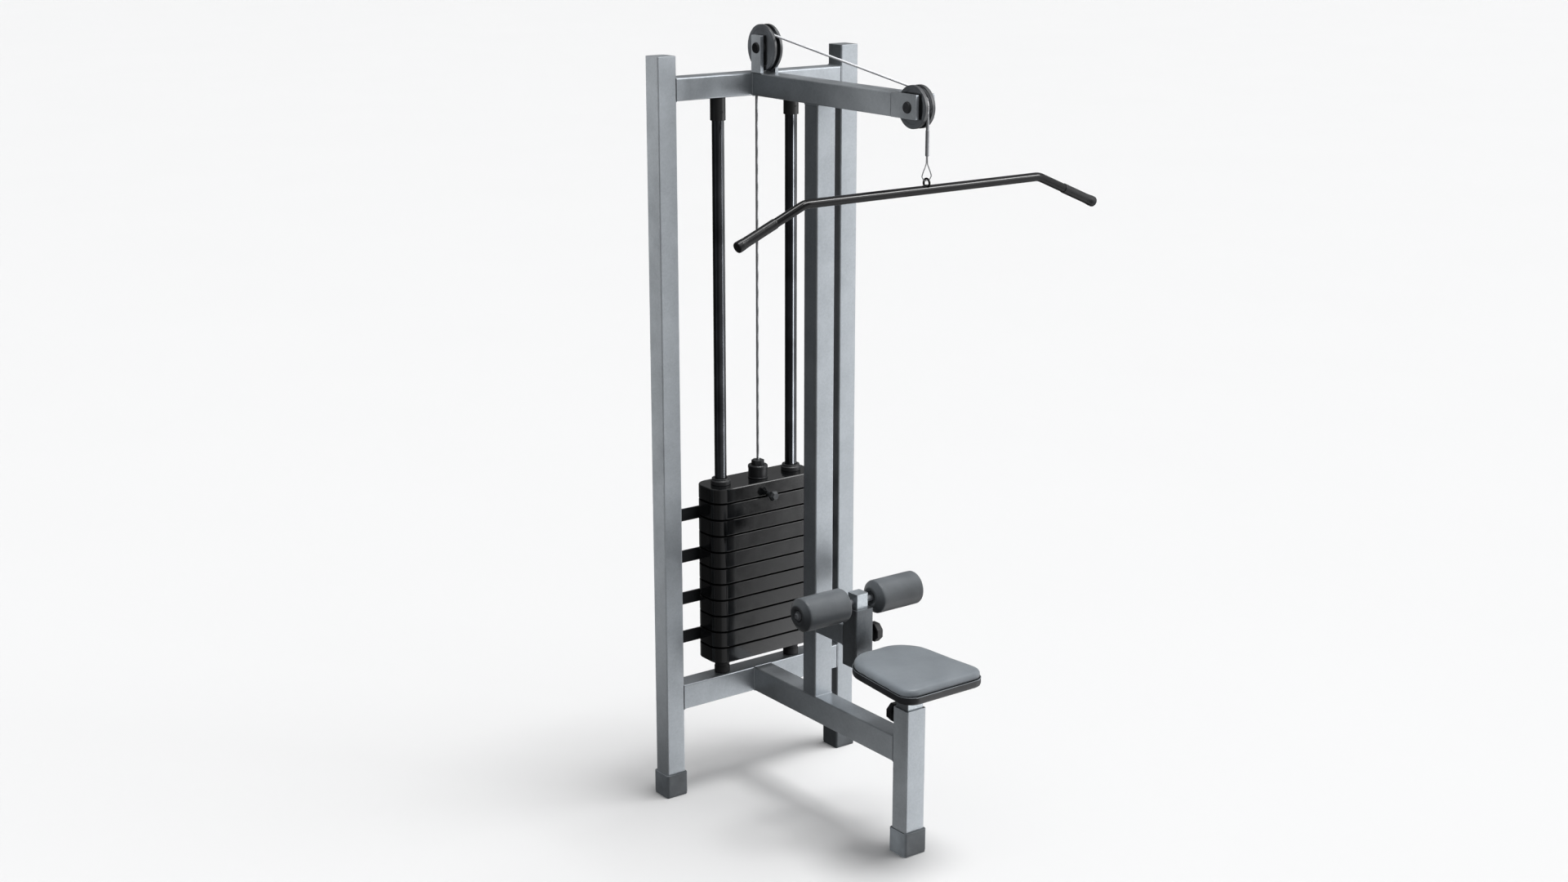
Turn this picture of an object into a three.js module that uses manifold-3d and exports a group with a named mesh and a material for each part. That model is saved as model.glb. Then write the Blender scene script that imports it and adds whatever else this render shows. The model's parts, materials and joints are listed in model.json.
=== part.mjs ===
// Lat pulldown machine: steel frame, weight stack, cable over two pulleys, lat bar, thigh pad, seat.
// Millimetres, +Z up. The user sits facing +Y, so the seat is on the -Y side.
import * as THREE from "three";
import { mergeVertices } from "three/addons/utils/BufferGeometryUtils.js";
import Module from "manifold-3d";

const wasm = await Module();
wasm.setup();

// ---- driving dimensions -------------------------------------------------
const GAP = 0.3;
const Y_CENTRE = 394.5;

const TUBE = 60;
const TUBE_EDGE = 4;
const WALL = 4;
const UPRIGHT_X = 307.15;
const UPRIGHT_TOP = 2115.4;
const CAP_FLOOR = 8;
const CAP_HEIGHT = 70;
const CAP_FLANGE = 5.2;

const TOP_BEAM = { z0: 1995.3, z1: 2057.3 };
const LOW_BEAM = { z0: 260.4, z1: 334.4 };
const SPINE_WIDTH = 62;
const MAST = { y: -294.2, w: 62, d: 57 };
const POST = { y: -701, w: 65, d: 60, top: 422.3 };
const ARM_END = -723.5;
const FORK_BACK = -626;
const FORK_GAP = 42;

const SLAT = { half: 303, y: 62, depth: 6, height: 36, standoffX: 289, standoffR: 9 };
const SLAT_HEIGHTS = [809, 684.5, 558, 440.5];

const ROD_X = 124;
const ROD_R = 17;
const ROD_FOOT = LOW_BEAM.z1 + GAP;
const ROD_HEAD = TOP_BEAM.z0 - GAP;
const COLLAR = { r: 21.25, z0: 1932 };
const BUMPER_R = 22.4;

const PLATE = { w: 358, d: 118, r: 40, bore: 17.6, stem: 14.5 };
const PLATE_COUNT = 10;
const PLATE_PITCH = 47.9;
const PLATE_THICK = 47.5;
const STACK_FLOOR = 380.4;
const HEAD_PLATE = { z0: STACK_FLOOR + PLATE_COUNT * PLATE_PITCH, thick: 43.1 };
const HEAD_TOP = HEAD_PLATE.z0 + HEAD_PLATE.thick;
const STEM = { r: 14, foot: 396, collarR: 28.5, collarTop: 941, hexR: 18.5, top: 955 };
const BUSH = { r: 28.5, bore: 17.4, height: 18 };
const PIN = { z: HEAD_PLATE.z0 + 5, r: 5, hole: 5.4, tip: 22, neckR: 8, headR: 15.5, head0: -74, head1: -96 };

const CABLE_R = 4;
const CABLE_HOLE_R = 9;
const CABLE_Y = -8.5;
const CABLE_JOIN_REAR = 2110;
const CABLE_JOIN_FRONT = 2010;
const REAR_PULLEY = { y: -49, z: 2125, pitch: 40.5, rim: 62.5, half: 13.75, boss: 19.6 };
const FRONT_PULLEY = { y: -690, z: 2024, pitch: 43.5, rim: 54.5, half: 16, boss: 20.6 };
const GROOVE_MOUTH = 5.6;
const FRONT_CABLE_Y = FRONT_PULLEY.y - FRONT_PULLEY.pitch;
const AXLE_R = 8;
const AXLE_BORE = 8.3;
const AXLE_HEAD = { r: 15, thick: 5 };
const EAR = { y0: -68.5, y1: -25.9, x0: 20, x1: 30, top: 2158.7 };

const SLEEVE = { r: 4.9, z0: 1905, z1: 1970 };
const LOOP = { r: 1.6, half: 16.5, bottom: 1844.2 };
const BAR = { r: 11.5, z: 1821, bendX: 381, endX: 577.6, endZ: 1737.7, bendR: 70 };
const EYE = { outer: 14, wire: 2.75, z: 1838 };
const GRIP = { length: 116, bore: 11.8, r: 13, flare: 14.2, cap: 6 };

const THIGH_Y = -474.5;
const THIGH_SLEEVE = { w: 60, d: 61, z0: 473.8, z1: 641.9, bore: 40.6 };
const THIGH_POST = { w: 40, z0: 480, z1: 683.6 };
const BRACKET = { z0: 527.5, z1: 587.5 };
const ROLLER = { x0: 43, x1: 209, r: 47, z: 658.5, recess: 6, recessR: 17 };
const THIGH_KNOB = { z: 557, x0: 48, x1: 70 };
const KNOB_R = 28;
const KNOB_EDGE = 4;
const KNOB_LOBES = 8;
const KNOB_STEM_R = 8.5;
const SCREW_R = 4;

const SEAT_POST = { w: 54.4, d: 49.4, z0: 230 };
const POST_BORE = { w: 55, d: 50 };
const SEAT = { front: -857, back: -545, halfFront: 145, halfBack: 117, rFront: 42, rBack: 90 };
const SEAT_BOARD = { z0: 501, thick: 20 };
const CUSHION = { top: 548, bevel: 7 };
const SEAT_KNOB = { z: 389, y0: -652, y1: -632 };

// ---- looks ----------------------------------------------------------------
const STEEL = { color: 0xb4bac0, roughness: 0.42, metalness: 0.85 };
const CAP = { color: 0x4c4f54, roughness: 0.7, metalness: 0.1 };
const SLAT_STEEL = { color: 0x25272a, roughness: 0.5, metalness: 0.4 };
const CHROME = { color: 0x55595d, roughness: 0.12, metalness: 1.0 };
const IRON = { color: 0x17191b, roughness: 0.38, metalness: 0.3 };
const BLACK_STEEL = { color: 0x202224, roughness: 0.4, metalness: 0.5 };
const PLASTIC = { color: 0x2e3134, roughness: 0.5, metalness: 0.0 };
const CABLE_LOOK = { color: 0x9da1a5, roughness: 0.35, metalness: 0.9 };
const GLOSS_BLACK = { color: 0x060607, roughness: 0.15, metalness: 0.2 };
const RUBBER = { color: 0x151617, roughness: 0.75, metalness: 0.0 };
const ROLLER_VINYL = { color: 0x5d6166, roughness: 0.55, metalness: 0.0 };
const SEAT_VINYL = { color: 0x8b949c, roughness: 0.5, metalness: 0.0 };
const BOARD_LOOK = { color: 0x18191b, roughness: 0.6, metalness: 0.0 };

// ---- geometry helpers -----------------------------------------------------
function tidy(geometry) {
  const bare = new THREE.BufferGeometry();
  bare.setAttribute("position", geometry.getAttribute("position").clone());
  if (geometry.index) bare.setIndex(geometry.index.clone());
  const merged = mergeVertices(bare, 1e-4);
  const p = merged.getAttribute("position");
  const index = Array.from(merged.index.array);
  const a = new THREE.Vector3();
  const b = new THREE.Vector3();
  const c = new THREE.Vector3();
  const kept = [];
  let volume = 0;
  for (let i = 0; i < index.length; i += 3) {
    const [i0, i1, i2] = index.slice(i, i + 3);
    if (i0 === i1 || i1 === i2 || i2 === i0) continue;
    a.fromBufferAttribute(p, i0);
    b.fromBufferAttribute(p, i1);
    c.fromBufferAttribute(p, i2);
    volume += a.dot(b.cross(c));
    kept.push(i0, i1, i2);
  }
  if (volume < 0) {
    for (let i = 0; i < kept.length; i += 3) {
      const swap = kept[i + 1];
      kept[i + 1] = kept[i + 2];
      kept[i + 2] = swap;
    }
  }
  merged.setIndex(kept);
  return merged;
}

function toSolid(geometry) {
  const clean = tidy(geometry);
  return new wasm.Manifold(new wasm.Mesh({
    numProp: 3,
    vertProperties: new Float32Array(clean.getAttribute("position").array),
    triVerts: new Uint32Array(clean.index.array),
  }));
}

function toGeometry(solid) {
  const mesh = solid.getMesh();
  const geometry = new THREE.BufferGeometry();
  geometry.setAttribute("position", new THREE.BufferAttribute(Float32Array.from(mesh.vertProperties), 3));
  geometry.setIndex(new THREE.BufferAttribute(Uint32Array.from(mesh.triVerts), 1));
  return geometry;
}

function cut(base, ...tools) {
  let solid = toSolid(base);
  for (const tool of tools) solid = solid.subtract(toSolid(tool));
  return toGeometry(solid);
}

function join(base, ...more) {
  let solid = toSolid(base);
  for (const piece of more) solid = solid.add(toSolid(piece));
  return toGeometry(solid);
}

function roundedRect(w, h, r, segments) {
  const centres = [[1, 1, 0], [-1, 1, 1], [-1, -1, 2], [1, -1, 3]];
  const points = [];
  for (const [sx, sy, quarter] of centres) {
    for (let i = 0; i <= segments; i++) {
      const t = (quarter + i / segments) * Math.PI / 2;
      points.push(new THREE.Vector2(sx * (w / 2 - r) + r * Math.cos(t), sy * (h / 2 - r) + r * Math.sin(t)));
    }
  }
  return new THREE.Shape(points);
}

function ring(r, sides, x = 0, y = 0) {
  const points = [];
  for (let i = 0; i < sides; i++) {
    const t = (i + 0.5) / sides * 2 * Math.PI;
    points.push(new THREE.Vector2(x + r * Math.cos(t), y + r * Math.sin(t)));
  }
  return points;
}

// A section in the XY plane, raised from z0 to z1.
function prismZ(shape, z0, z1) {
  const geometry = new THREE.ExtrudeGeometry(shape, { depth: z1 - z0, bevelEnabled: false });
  return geometry.translate(0, 0, z0);
}

// A section given as (x, z), run from y0 to y1.
function prismY(shape, y0, y1) {
  return prismZ(shape, -y1, -y0).rotateX(Math.PI / 2);
}

// A section given as (y, z), run from x0 to x1.
function prismX(shape, x0, x1) {
  return prismZ(shape, x0, x1).rotateY(Math.PI / 2).rotateX(Math.PI / 2);
}

function block(x0, x1, y0, y1, z0, z1) {
  const geometry = new THREE.BoxGeometry(x1 - x0, y1 - y0, z1 - z0);
  return geometry.translate((x0 + x1) / 2, (y0 + y1) / 2, (z0 + z1) / 2);
}

// A turned solid: profile of [radius, position along the axis].
function turned(profile, axis, sides) {
  const points = profile.map(([r, s]) => new THREE.Vector2(r, s));
  const geometry = new THREE.LatheGeometry(points, sides);
  if (axis === "z") geometry.rotateX(Math.PI / 2);
  if (axis === "x") geometry.rotateZ(-Math.PI / 2);
  return geometry;
}

function rod(axis, r, s0, s1, sides) {
  return turned([[0, s0], [r, s0], [r, s1], [0, s1]], axis, sides);
}

function sleeveRing(axis, outer, bore, s0, s1, sides) {
  const profile = [[bore, s0], [outer, s0], [outer, s1], [bore, s1], [bore, s0]];
  return turned(profile, axis, sides);
}

// A polyline route whose sweep steps fall exactly on its points.
class Route extends THREE.Curve {
  constructor(points) {
    super();
    this.points = points;
  }

  getPoint(t, target = new THREE.Vector3()) {
    const last = this.points.length - 1;
    const s = Math.min(Math.max(t, 0), 1) * last;
    const i = Math.min(Math.floor(s + 1e-9), last - 1);
    return target.copy(this.points[i]).lerp(this.points[i + 1], s - i);
  }

  getPointAt(u, target) {
    return this.getPoint(u, target);
  }

  getTangentAt(u, target = new THREE.Vector3()) {
    const last = this.points.length - 1;
    const i = Math.round(u * last);
    const before = this.points[Math.max(i - 1, 0)];
    const here = this.points[i];
    const after = this.points[Math.min(i + 1, last)];
    const back = here.clone().sub(before).normalize();
    const ahead = after.clone().sub(here).normalize();
    return target.copy(back).add(ahead).normalize();
  }
}

function sweep(points, r, sides) {
  return new THREE.ExtrudeGeometry(new THREE.Shape(ring(r, sides)), {
    steps: points.length - 1,
    extrudePath: new Route(points),
    bevelEnabled: false,
  });
}

function yz(y, z) {
  return new THREE.Vector3(0, y, z);
}

function xz(x, z, y) {
  return new THREE.Vector3(x, y, z);
}

const machine = new THREE.Group();
machine.position.y = Y_CENTRE;

function add(name, geometry, look) {
  const shell = tidy(geometry);
  shell.computeVertexNormals();
  const mesh = new THREE.Mesh(shell, new THREE.MeshStandardMaterial(look));
  mesh.name = name;
  machine.add(mesh);
  return mesh;
}

// ---- frame ------------------------------------------------------------------
function squareTube(w, d, edge, wall, z0, z1) {
  const inX = w / 2 - wall;
  const inY = d / 2 - wall;
  return cut(prismZ(roundedRect(w, d, edge, 2), z0, z1), block(-inX, inX, -inY, inY, z0 - 1, z1 + 1));
}

function upright() {
  const inner = TUBE / 2 - WALL;
  const outer = prismZ(roundedRect(TUBE, TUBE, TUBE_EDGE, 2), CAP_FLOOR + GAP, UPRIGHT_TOP);
  return cut(outer, block(-inner, inner, -inner, inner, 0, UPRIGHT_TOP - WALL));
}

function footCap(w, d) {
  const outer = prismZ(roundedRect(w + 2 * CAP_FLANGE, d + 2 * CAP_FLANGE, 7, 3), 0, CAP_HEIGHT);
  const bore = prismZ(roundedRect(w + 2 * GAP, d + 2 * GAP, TUBE_EDGE + GAP, 2), CAP_FLOOR, CAP_HEIGHT + 1);
  return cut(outer, bore);
}

function crossTube(z0, z1) {
  const half = UPRIGHT_X - TUBE / 2 - GAP;
  const mid = (z0 + z1) / 2;
  const outer = prismX(roundedRect(TUBE, z1 - z0, TUBE_EDGE, 2), -half, half).translate(0, 0, mid);
  const inner = TUBE / 2 - WALL;
  return cut(outer, block(-half - 1, half + 1, -inner, inner, z0 + WALL, z1 - WALL));
}

function lengthTube(w, y0, y1, z0, z1, wall) {
  const outer = prismY(roundedRect(w, z1 - z0, TUBE_EDGE, 2), y0, y1).translate(0, 0, (z0 + z1) / 2);
  return cut(outer, block(wall - w / 2, w / 2 - wall, y0 - 1, y1 + 1, z0 + wall, z1 - wall));
}

function topArm() {
  const { z0, z1 } = TOP_BEAM;
  const y1 = -TUBE / 2 - GAP;
  const inner = TUBE / 2 - WALL;
  const outer = prismY(roundedRect(TUBE, z1 - z0, TUBE_EDGE, 2), ARM_END, y1).translate(0, 0, (z0 + z1) / 2);
  return cut(
    outer,
    block(-inner, inner, FORK_BACK + WALL, y1 + 1, z0 + WALL, z1 - WALL),
    block(-FORK_GAP / 2, FORK_GAP / 2, ARM_END - 1, FORK_BACK, z0 - 1, z1 + 1),
    rod("x", AXLE_BORE, -40, 40, 20).translate(0, FRONT_PULLEY.y, FRONT_PULLEY.z),
  );
}

function buildFrame() {
  for (const [side, sign] of [["left", -1], ["right", 1]]) {
    add(`${side}_upright`, upright().translate(sign * UPRIGHT_X, 0, 0), STEEL);
    add(`${side}_foot_cap`, footCap(TUBE, TUBE).translate(sign * UPRIGHT_X, 0, 0), CAP);
  }
  const cableHole = rod("z", CABLE_HOLE_R, TOP_BEAM.z0 - 1, TOP_BEAM.z1 + 1, 20).translate(0, CABLE_Y, 0);
  add("top_crossbeam", cut(crossTube(TOP_BEAM.z0, TOP_BEAM.z1), cableHole), STEEL);
  add("bottom_crossbeam", crossTube(LOW_BEAM.z0, LOW_BEAM.z1), STEEL);
  add("top_arm", topArm(), STEEL);

  const postBack = POST.y + POST.d / 2 + GAP;
  const spineBack = -TUBE / 2 - GAP;
  add("spine_beam", lengthTube(SPINE_WIDTH, postBack, spineBack, LOW_BEAM.z0, LOW_BEAM.z1, WALL), STEEL);
  const mast = squareTube(MAST.w, MAST.d, TUBE_EDGE, WALL, LOW_BEAM.z1 + GAP, TOP_BEAM.z0 - GAP);
  add("centre_mast", mast.translate(0, MAST.y, 0), STEEL);

  const post = cut(
    prismZ(roundedRect(POST.w, POST.d, TUBE_EDGE, 2), CAP_FLOOR + GAP, POST.top),
    block(-POST_BORE.w / 2, POST_BORE.w / 2, -POST_BORE.d / 2, POST_BORE.d / 2, 0, POST.top + 1),
    rod("y", SCREW_R + GAP, 10, 40, 12).translate(0, 0, SEAT_KNOB.z),
  );
  add("front_post", post.translate(0, POST.y, 0), STEEL);
  add("front_foot_cap", footCap(POST.w, POST.d).translate(0, POST.y, 0), CAP);
}

function buildSlats() {
  const back = SLAT.y + SLAT.depth;
  SLAT_HEIGHTS.forEach((z, i) => {
    const bar = block(-SLAT.half, SLAT.half, SLAT.y, back, z - SLAT.height / 2, z + SLAT.height / 2);
    const standoffs = [-1, 1].map((sign) => {
      return rod("y", SLAT.standoffR, TUBE / 2 + GAP, back - 1, 16).translate(sign * SLAT.standoffX, 0, z);
    });
    add(`rear_slat_${i + 1}`, join(bar, ...standoffs), SLAT_STEEL);
  });
}

function buildGuideRods() {
  for (const [side, sign] of [["left", -1], ["right", 1]]) {
    const x = sign * ROD_X;
    add(`guide_rod_${side}`, rod("z", ROD_R, ROD_FOOT, ROD_HEAD, 24).translate(x, 0, 0), CHROME);
    const collar = sleeveRing("z", COLLAR.r, ROD_R + GAP, COLLAR.z0, ROD_HEAD, 24);
    add(`rod_collar_${side}`, collar.translate(x, 0, 0), BLACK_STEEL);
    const bumper = sleeveRing("z", BUMPER_R, ROD_R + GAP, ROD_FOOT, STACK_FLOOR - GAP, 24);
    add(`stack_bumper_${side}`, bumper.translate(x, 0, 0), RUBBER);
  }
}

// ---- weight stack -------------------------------------------------------------
function plate(z0, z1) {
  const shape = roundedRect(PLATE.w, PLATE.d, PLATE.r, 5);
  shape.holes.push(new THREE.Path(ring(PLATE.bore, 14, -ROD_X)));
  shape.holes.push(new THREE.Path(ring(PLATE.bore, 14, ROD_X)));
  shape.holes.push(new THREE.Path(ring(PLATE.stem, 12, 0, CABLE_Y)));
  return prismZ(shape, z0, z1);
}

function selectorStem() {
  const shaft = turned([
    [0, STEM.foot], [STEM.r - 3, STEM.foot], [STEM.r, STEM.foot + 6], [STEM.r, HEAD_TOP + GAP],
    [STEM.collarR, HEAD_TOP + GAP], [STEM.collarR, STEM.collarTop - 2], [STEM.collarR - 2, STEM.collarTop],
    [0, STEM.collarTop],
  ], "z", 24);
  const nut = prismZ(new THREE.Shape(ring(STEM.hexR, 6)), STEM.collarTop - 5, STEM.top);
  return cut(join(shaft, nut), rod("y", PIN.hole, -30, 30, 14).translate(0, 0, PIN.z));
}

function selectorPin() {
  const shaft = rod("y", PIN.r, PIN.head0 - 2, PIN.tip, 14);
  const neck = rod("y", PIN.neckR, PIN.head0 - 2, -PLATE.d / 2 - GAP, 18);
  const grip = rod("y", PIN.headR, PIN.head1, PIN.head0, 6);
  return join(shaft, neck, grip).translate(0, 0, PIN.z);
}

function buildStack() {
  for (let i = 0; i < PLATE_COUNT; i++) {
    const top = HEAD_PLATE.z0 - i * PLATE_PITCH - (PLATE_PITCH - PLATE_THICK);
    const number = String(i + 1).padStart(2, "0");
    add(`weight_plate_${number}`, plate(top - PLATE_THICK, top), IRON);
  }
  const groove = PIN.hole + 0.1;
  const head = cut(
    plate(HEAD_PLATE.z0, HEAD_TOP),
    rod("y", groove, -PLATE.d, 30, 16).translate(0, 0, PIN.z),
    block(-groove, groove, -PLATE.d, 30, HEAD_PLATE.z0 - 1, PIN.z),
  );
  add("head_plate", head, IRON);
  add("selector_stem", selectorStem().translate(0, CABLE_Y, 0), BLACK_STEEL);
  add("selector_pin", selectorPin(), BLACK_STEEL);
  for (const [side, sign] of [["left", -1], ["right", 1]]) {
    const bush = sleeveRing("z", BUSH.r, BUSH.bore, HEAD_TOP + GAP, HEAD_TOP + GAP + BUSH.height, 24);
    add(`head_bush_${side}`, bush.translate(sign * ROD_X, 0, 0), PLASTIC);
  }
}

// ---- pulleys and cable ----------------------------------------------------------
function pulley({ pitch, rim, half, boss }) {
  const floor = pitch - CABLE_R - GAP;
  const profile = [
    [AXLE_BORE, -boss], [16, -boss], [16, 3 - half], [rim - 12, 3 - half], [rim - 9, -half], [rim, -half],
    [rim, -GROOVE_MOUTH], [pitch, -4.8], [floor, -2.6], [floor, 2.6], [pitch, 4.8], [rim, GROOVE_MOUTH],
    [rim, half], [rim - 9, half], [rim - 12, half - 3], [16, half - 3], [16, boss], [AXLE_BORE, boss],
    [AXLE_BORE, -boss],
  ];
  return turned(profile, "x", 28);
}

function axle(halfGrip) {
  const headR = AXLE_HEAD.r;
  const inner = halfGrip + GAP;
  const outer = inner + AXLE_HEAD.thick;
  return turned([
    [0, -outer], [headR, -outer], [headR, -inner], [AXLE_R, -inner],
    [AXLE_R, inner], [headR, inner], [headR, outer], [0, outer],
  ], "x", 16);
}

function ear() {
  const y0 = EAR.y0;
  const y1 = EAR.y1;
  const base = TOP_BEAM.z1 + GAP;
  const corner = 12;
  const points = [new THREE.Vector2(y0, base), new THREE.Vector2(y1, base)];
  for (const [cy, start] of [[y1 - corner, 0], [y0 + corner, 1]]) {
    for (let i = 0; i <= 5; i++) {
      const t = (start + i / 5) * Math.PI / 2;
      points.push(new THREE.Vector2(cy + corner * Math.cos(t), EAR.top - corner + corner * Math.sin(t)));
    }
  }
  const bore = rod("x", AXLE_BORE, 0, 50, 20).translate(0, REAR_PULLEY.y, REAR_PULLEY.z);
  return cut(prismX(new THREE.Shape(points), EAR.x0, EAR.x1), bore);
}

// The belt line over both pulleys: up the back, along the top tangent, down the front.
function topRunPoints() {
  const c1 = REAR_PULLEY;
  const c2 = FRONT_PULLEY;
  const dy = c2.y - c1.y;
  const dz = c2.z - c1.z;
  const length = Math.hypot(dy, dz);
  const along = (c1.pitch - c2.pitch) / length;
  const across = Math.sqrt(1 - along * along);
  const ny = along * dy / length + across * dz / length;
  const nz = along * dz / length - across * dy / length;
  const turn = Math.atan2(nz, ny);
  const points = [yz(c1.y + c1.pitch, CABLE_JOIN_REAR)];
  for (let i = 0; i <= 8; i++) {
    const t = turn * i / 8;
    points.push(yz(c1.y + c1.pitch * Math.cos(t), c1.z + c1.pitch * Math.sin(t)));
  }
  for (let i = 0; i <= 7; i++) {
    const t = turn + (Math.PI - turn) * i / 7;
    points.push(yz(c2.y + c2.pitch * Math.cos(t), c2.z + c2.pitch * Math.sin(t)));
  }
  points.push(yz(c2.y - c2.pitch, CABLE_JOIN_FRONT));
  return points;
}

function buildCable() {
  const rear = rod("z", CABLE_R, STEM.top + GAP, CABLE_JOIN_REAR - GAP, 10);
  add("cable_rear_run", rear.translate(0, CABLE_Y, 0), CABLE_LOOK);
  add("cable_top_run", sweep(topRunPoints(), CABLE_R, 8), CABLE_LOOK);
  const front = rod("z", CABLE_R, SLEEVE.z1 + GAP, CABLE_JOIN_FRONT - GAP, 10);
  add("cable_front_run", front.translate(0, FRONT_CABLE_Y, 0), CABLE_LOOK);
}

function buildPulleys() {
  add("rear_pulley", pulley(REAR_PULLEY).translate(0, REAR_PULLEY.y, REAR_PULLEY.z), PLASTIC);
  add("rear_pulley_axle", axle(EAR.x1).translate(0, REAR_PULLEY.y, REAR_PULLEY.z), BLACK_STEEL);
  add("rear_pulley_ear_right", ear(), STEEL);
  add("rear_pulley_ear_left", ear().translate(-EAR.x0 - EAR.x1, 0, 0), STEEL);
  add("front_pulley", pulley(FRONT_PULLEY).translate(0, FRONT_PULLEY.y, FRONT_PULLEY.z), PLASTIC);
  add("front_pulley_axle", axle(TUBE / 2).translate(0, FRONT_PULLEY.y, FRONT_PULLEY.z), BLACK_STEEL);
}

// ---- lat bar ------------------------------------------------------------------------
function cableEnd() {
  const crimp = turned([
    [0, SLEEVE.z0], [SLEEVE.r - 0.8, SLEEVE.z0], [SLEEVE.r, SLEEVE.z0 + 1.5],
    [SLEEVE.r, SLEEVE.z1 - 3], [SLEEVE.r - 0.6, SLEEVE.z1], [0, SLEEVE.z1],
  ], "z", 14);
  const side = [
    [1.9, SLEEVE.z0 + 6], [1.9, SLEEVE.z0 - 14], [3.4, SLEEVE.z0 - 22], [9.5, SLEEVE.z0 - 33],
    [LOOP.half - 1.5, SLEEVE.z0 - 43], [LOOP.half - LOOP.r, SLEEVE.z0 - 50],
    [LOOP.half - 3, LOOP.bottom + 4], [9, LOOP.bottom + 0.8],
  ];
  const left = side.map(([x, z]) => xz(-x, z, 0));
  const right = side.map(([x, z]) => xz(x, z, 0)).reverse();
  const wire = sweep([...left, xz(-3, LOOP.bottom, 0), xz(3, LOOP.bottom, 0), ...right], LOOP.r, 8);
  return join(crimp, wire).translate(0, FRONT_CABLE_Y, 0);
}

function barPoints() {
  const rise = Math.atan2(BAR.z - BAR.endZ, BAR.endX - BAR.bendX);
  const lead = BAR.bendR * Math.tan(rise / 2);
  const half = [xz(BAR.bendX - lead, BAR.z, 0)];
  for (let i = 1; i <= 4; i++) {
    const t = rise * i / 4;
    half.push(xz(BAR.bendX - lead + BAR.bendR * Math.sin(t), BAR.z - BAR.bendR * (1 - Math.cos(t)), 0));
  }
  half.push(xz(BAR.endX, BAR.endZ, 0));
  const left = half.map((p) => xz(-p.x, p.z, 0)).reverse();
  return { points: [...left, ...half], rise };
}

function barEye() {
  const torus = new THREE.TorusGeometry(EYE.outer - EYE.wire, EYE.wire, 8, 18);
  return torus.rotateY(Math.PI / 2).translate(0, 0, EYE.z);
}

function grip() {
  const end = GRIP.length + GRIP.cap;
  return turned([
    [0, GRIP.length + GAP], [GRIP.bore, GRIP.length + GAP], [GRIP.bore, 0], [GRIP.r, 0],
    [GRIP.r, GRIP.length - 14], [GRIP.flare, GRIP.length - 8], [GRIP.flare, end - 2],
    [GRIP.flare - 2, end], [0, end],
  ], "x", 18);
}

function buildBar() {
  add("cable_end_loop", cableEnd(), BLACK_STEEL);
  const { points, rise } = barPoints();
  add("lat_bar", join(sweep(points, BAR.r, 14), barEye()).translate(0, FRONT_CABLE_Y, 0), GLOSS_BLACK);
  for (const [side, sign] of [["left", -1], ["right", 1]]) {
    const mesh = add(`grip_${side}`, grip(), RUBBER);
    mesh.rotation.set(0, sign > 0 ? rise : Math.PI - rise, 0);
    const startX = BAR.endX - GRIP.length * Math.cos(rise);
    const startZ = BAR.endZ + GRIP.length * Math.sin(rise);
    mesh.position.set(sign * startX, FRONT_CABLE_Y, startZ);
  }
}

// ---- thigh pad --------------------------------------------------------------------------
function clampKnob(axis, tip, wall, disc0, disc1) {
  const screw = rod(axis, SCREW_R, tip, disc0 + 2, 12);
  const stem = rod(axis, KNOB_STEM_R, wall, disc0 + 2, 16);
  const rim = KNOB_R - KNOB_EDGE;
  const disc = turned([
    [0, disc0], [rim, disc0], [KNOB_R, disc0 + KNOB_EDGE], [KNOB_R, disc1 - KNOB_EDGE], [rim, disc1], [0, disc1],
  ], axis, KNOB_LOBES);
  return join(screw, stem, disc);
}

function roller() {
  const { x0, x1, r, recess, recessR } = ROLLER;
  const half = (x1 - x0) / 2;
  const end = [[AXLE_BORE, recess - half], [recessR, recess - half], [recessR + 9, -half], [r - 7, -half],
    [r, 7 - half]];
  const other = end.map(([radius, s]) => [radius, -s]).reverse();
  const profile = [...end, ...other, end[0]];
  return turned(profile, "x", 28);
}

function rollerAxle() {
  const face = ROLLER.x1 - ROLLER.recess;
  const right = [[AXLE_R, face + GAP], [13, face + GAP], [13, face + 2.3], [8.6, face + 2.3], [8.6, face + 7],
    [6, face + 9.5], [0, face + 9.5]];
  const left = right.map(([r, s]) => [r, -s]).reverse();
  return turned([...left, ...right], "x", 16);
}

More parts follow.
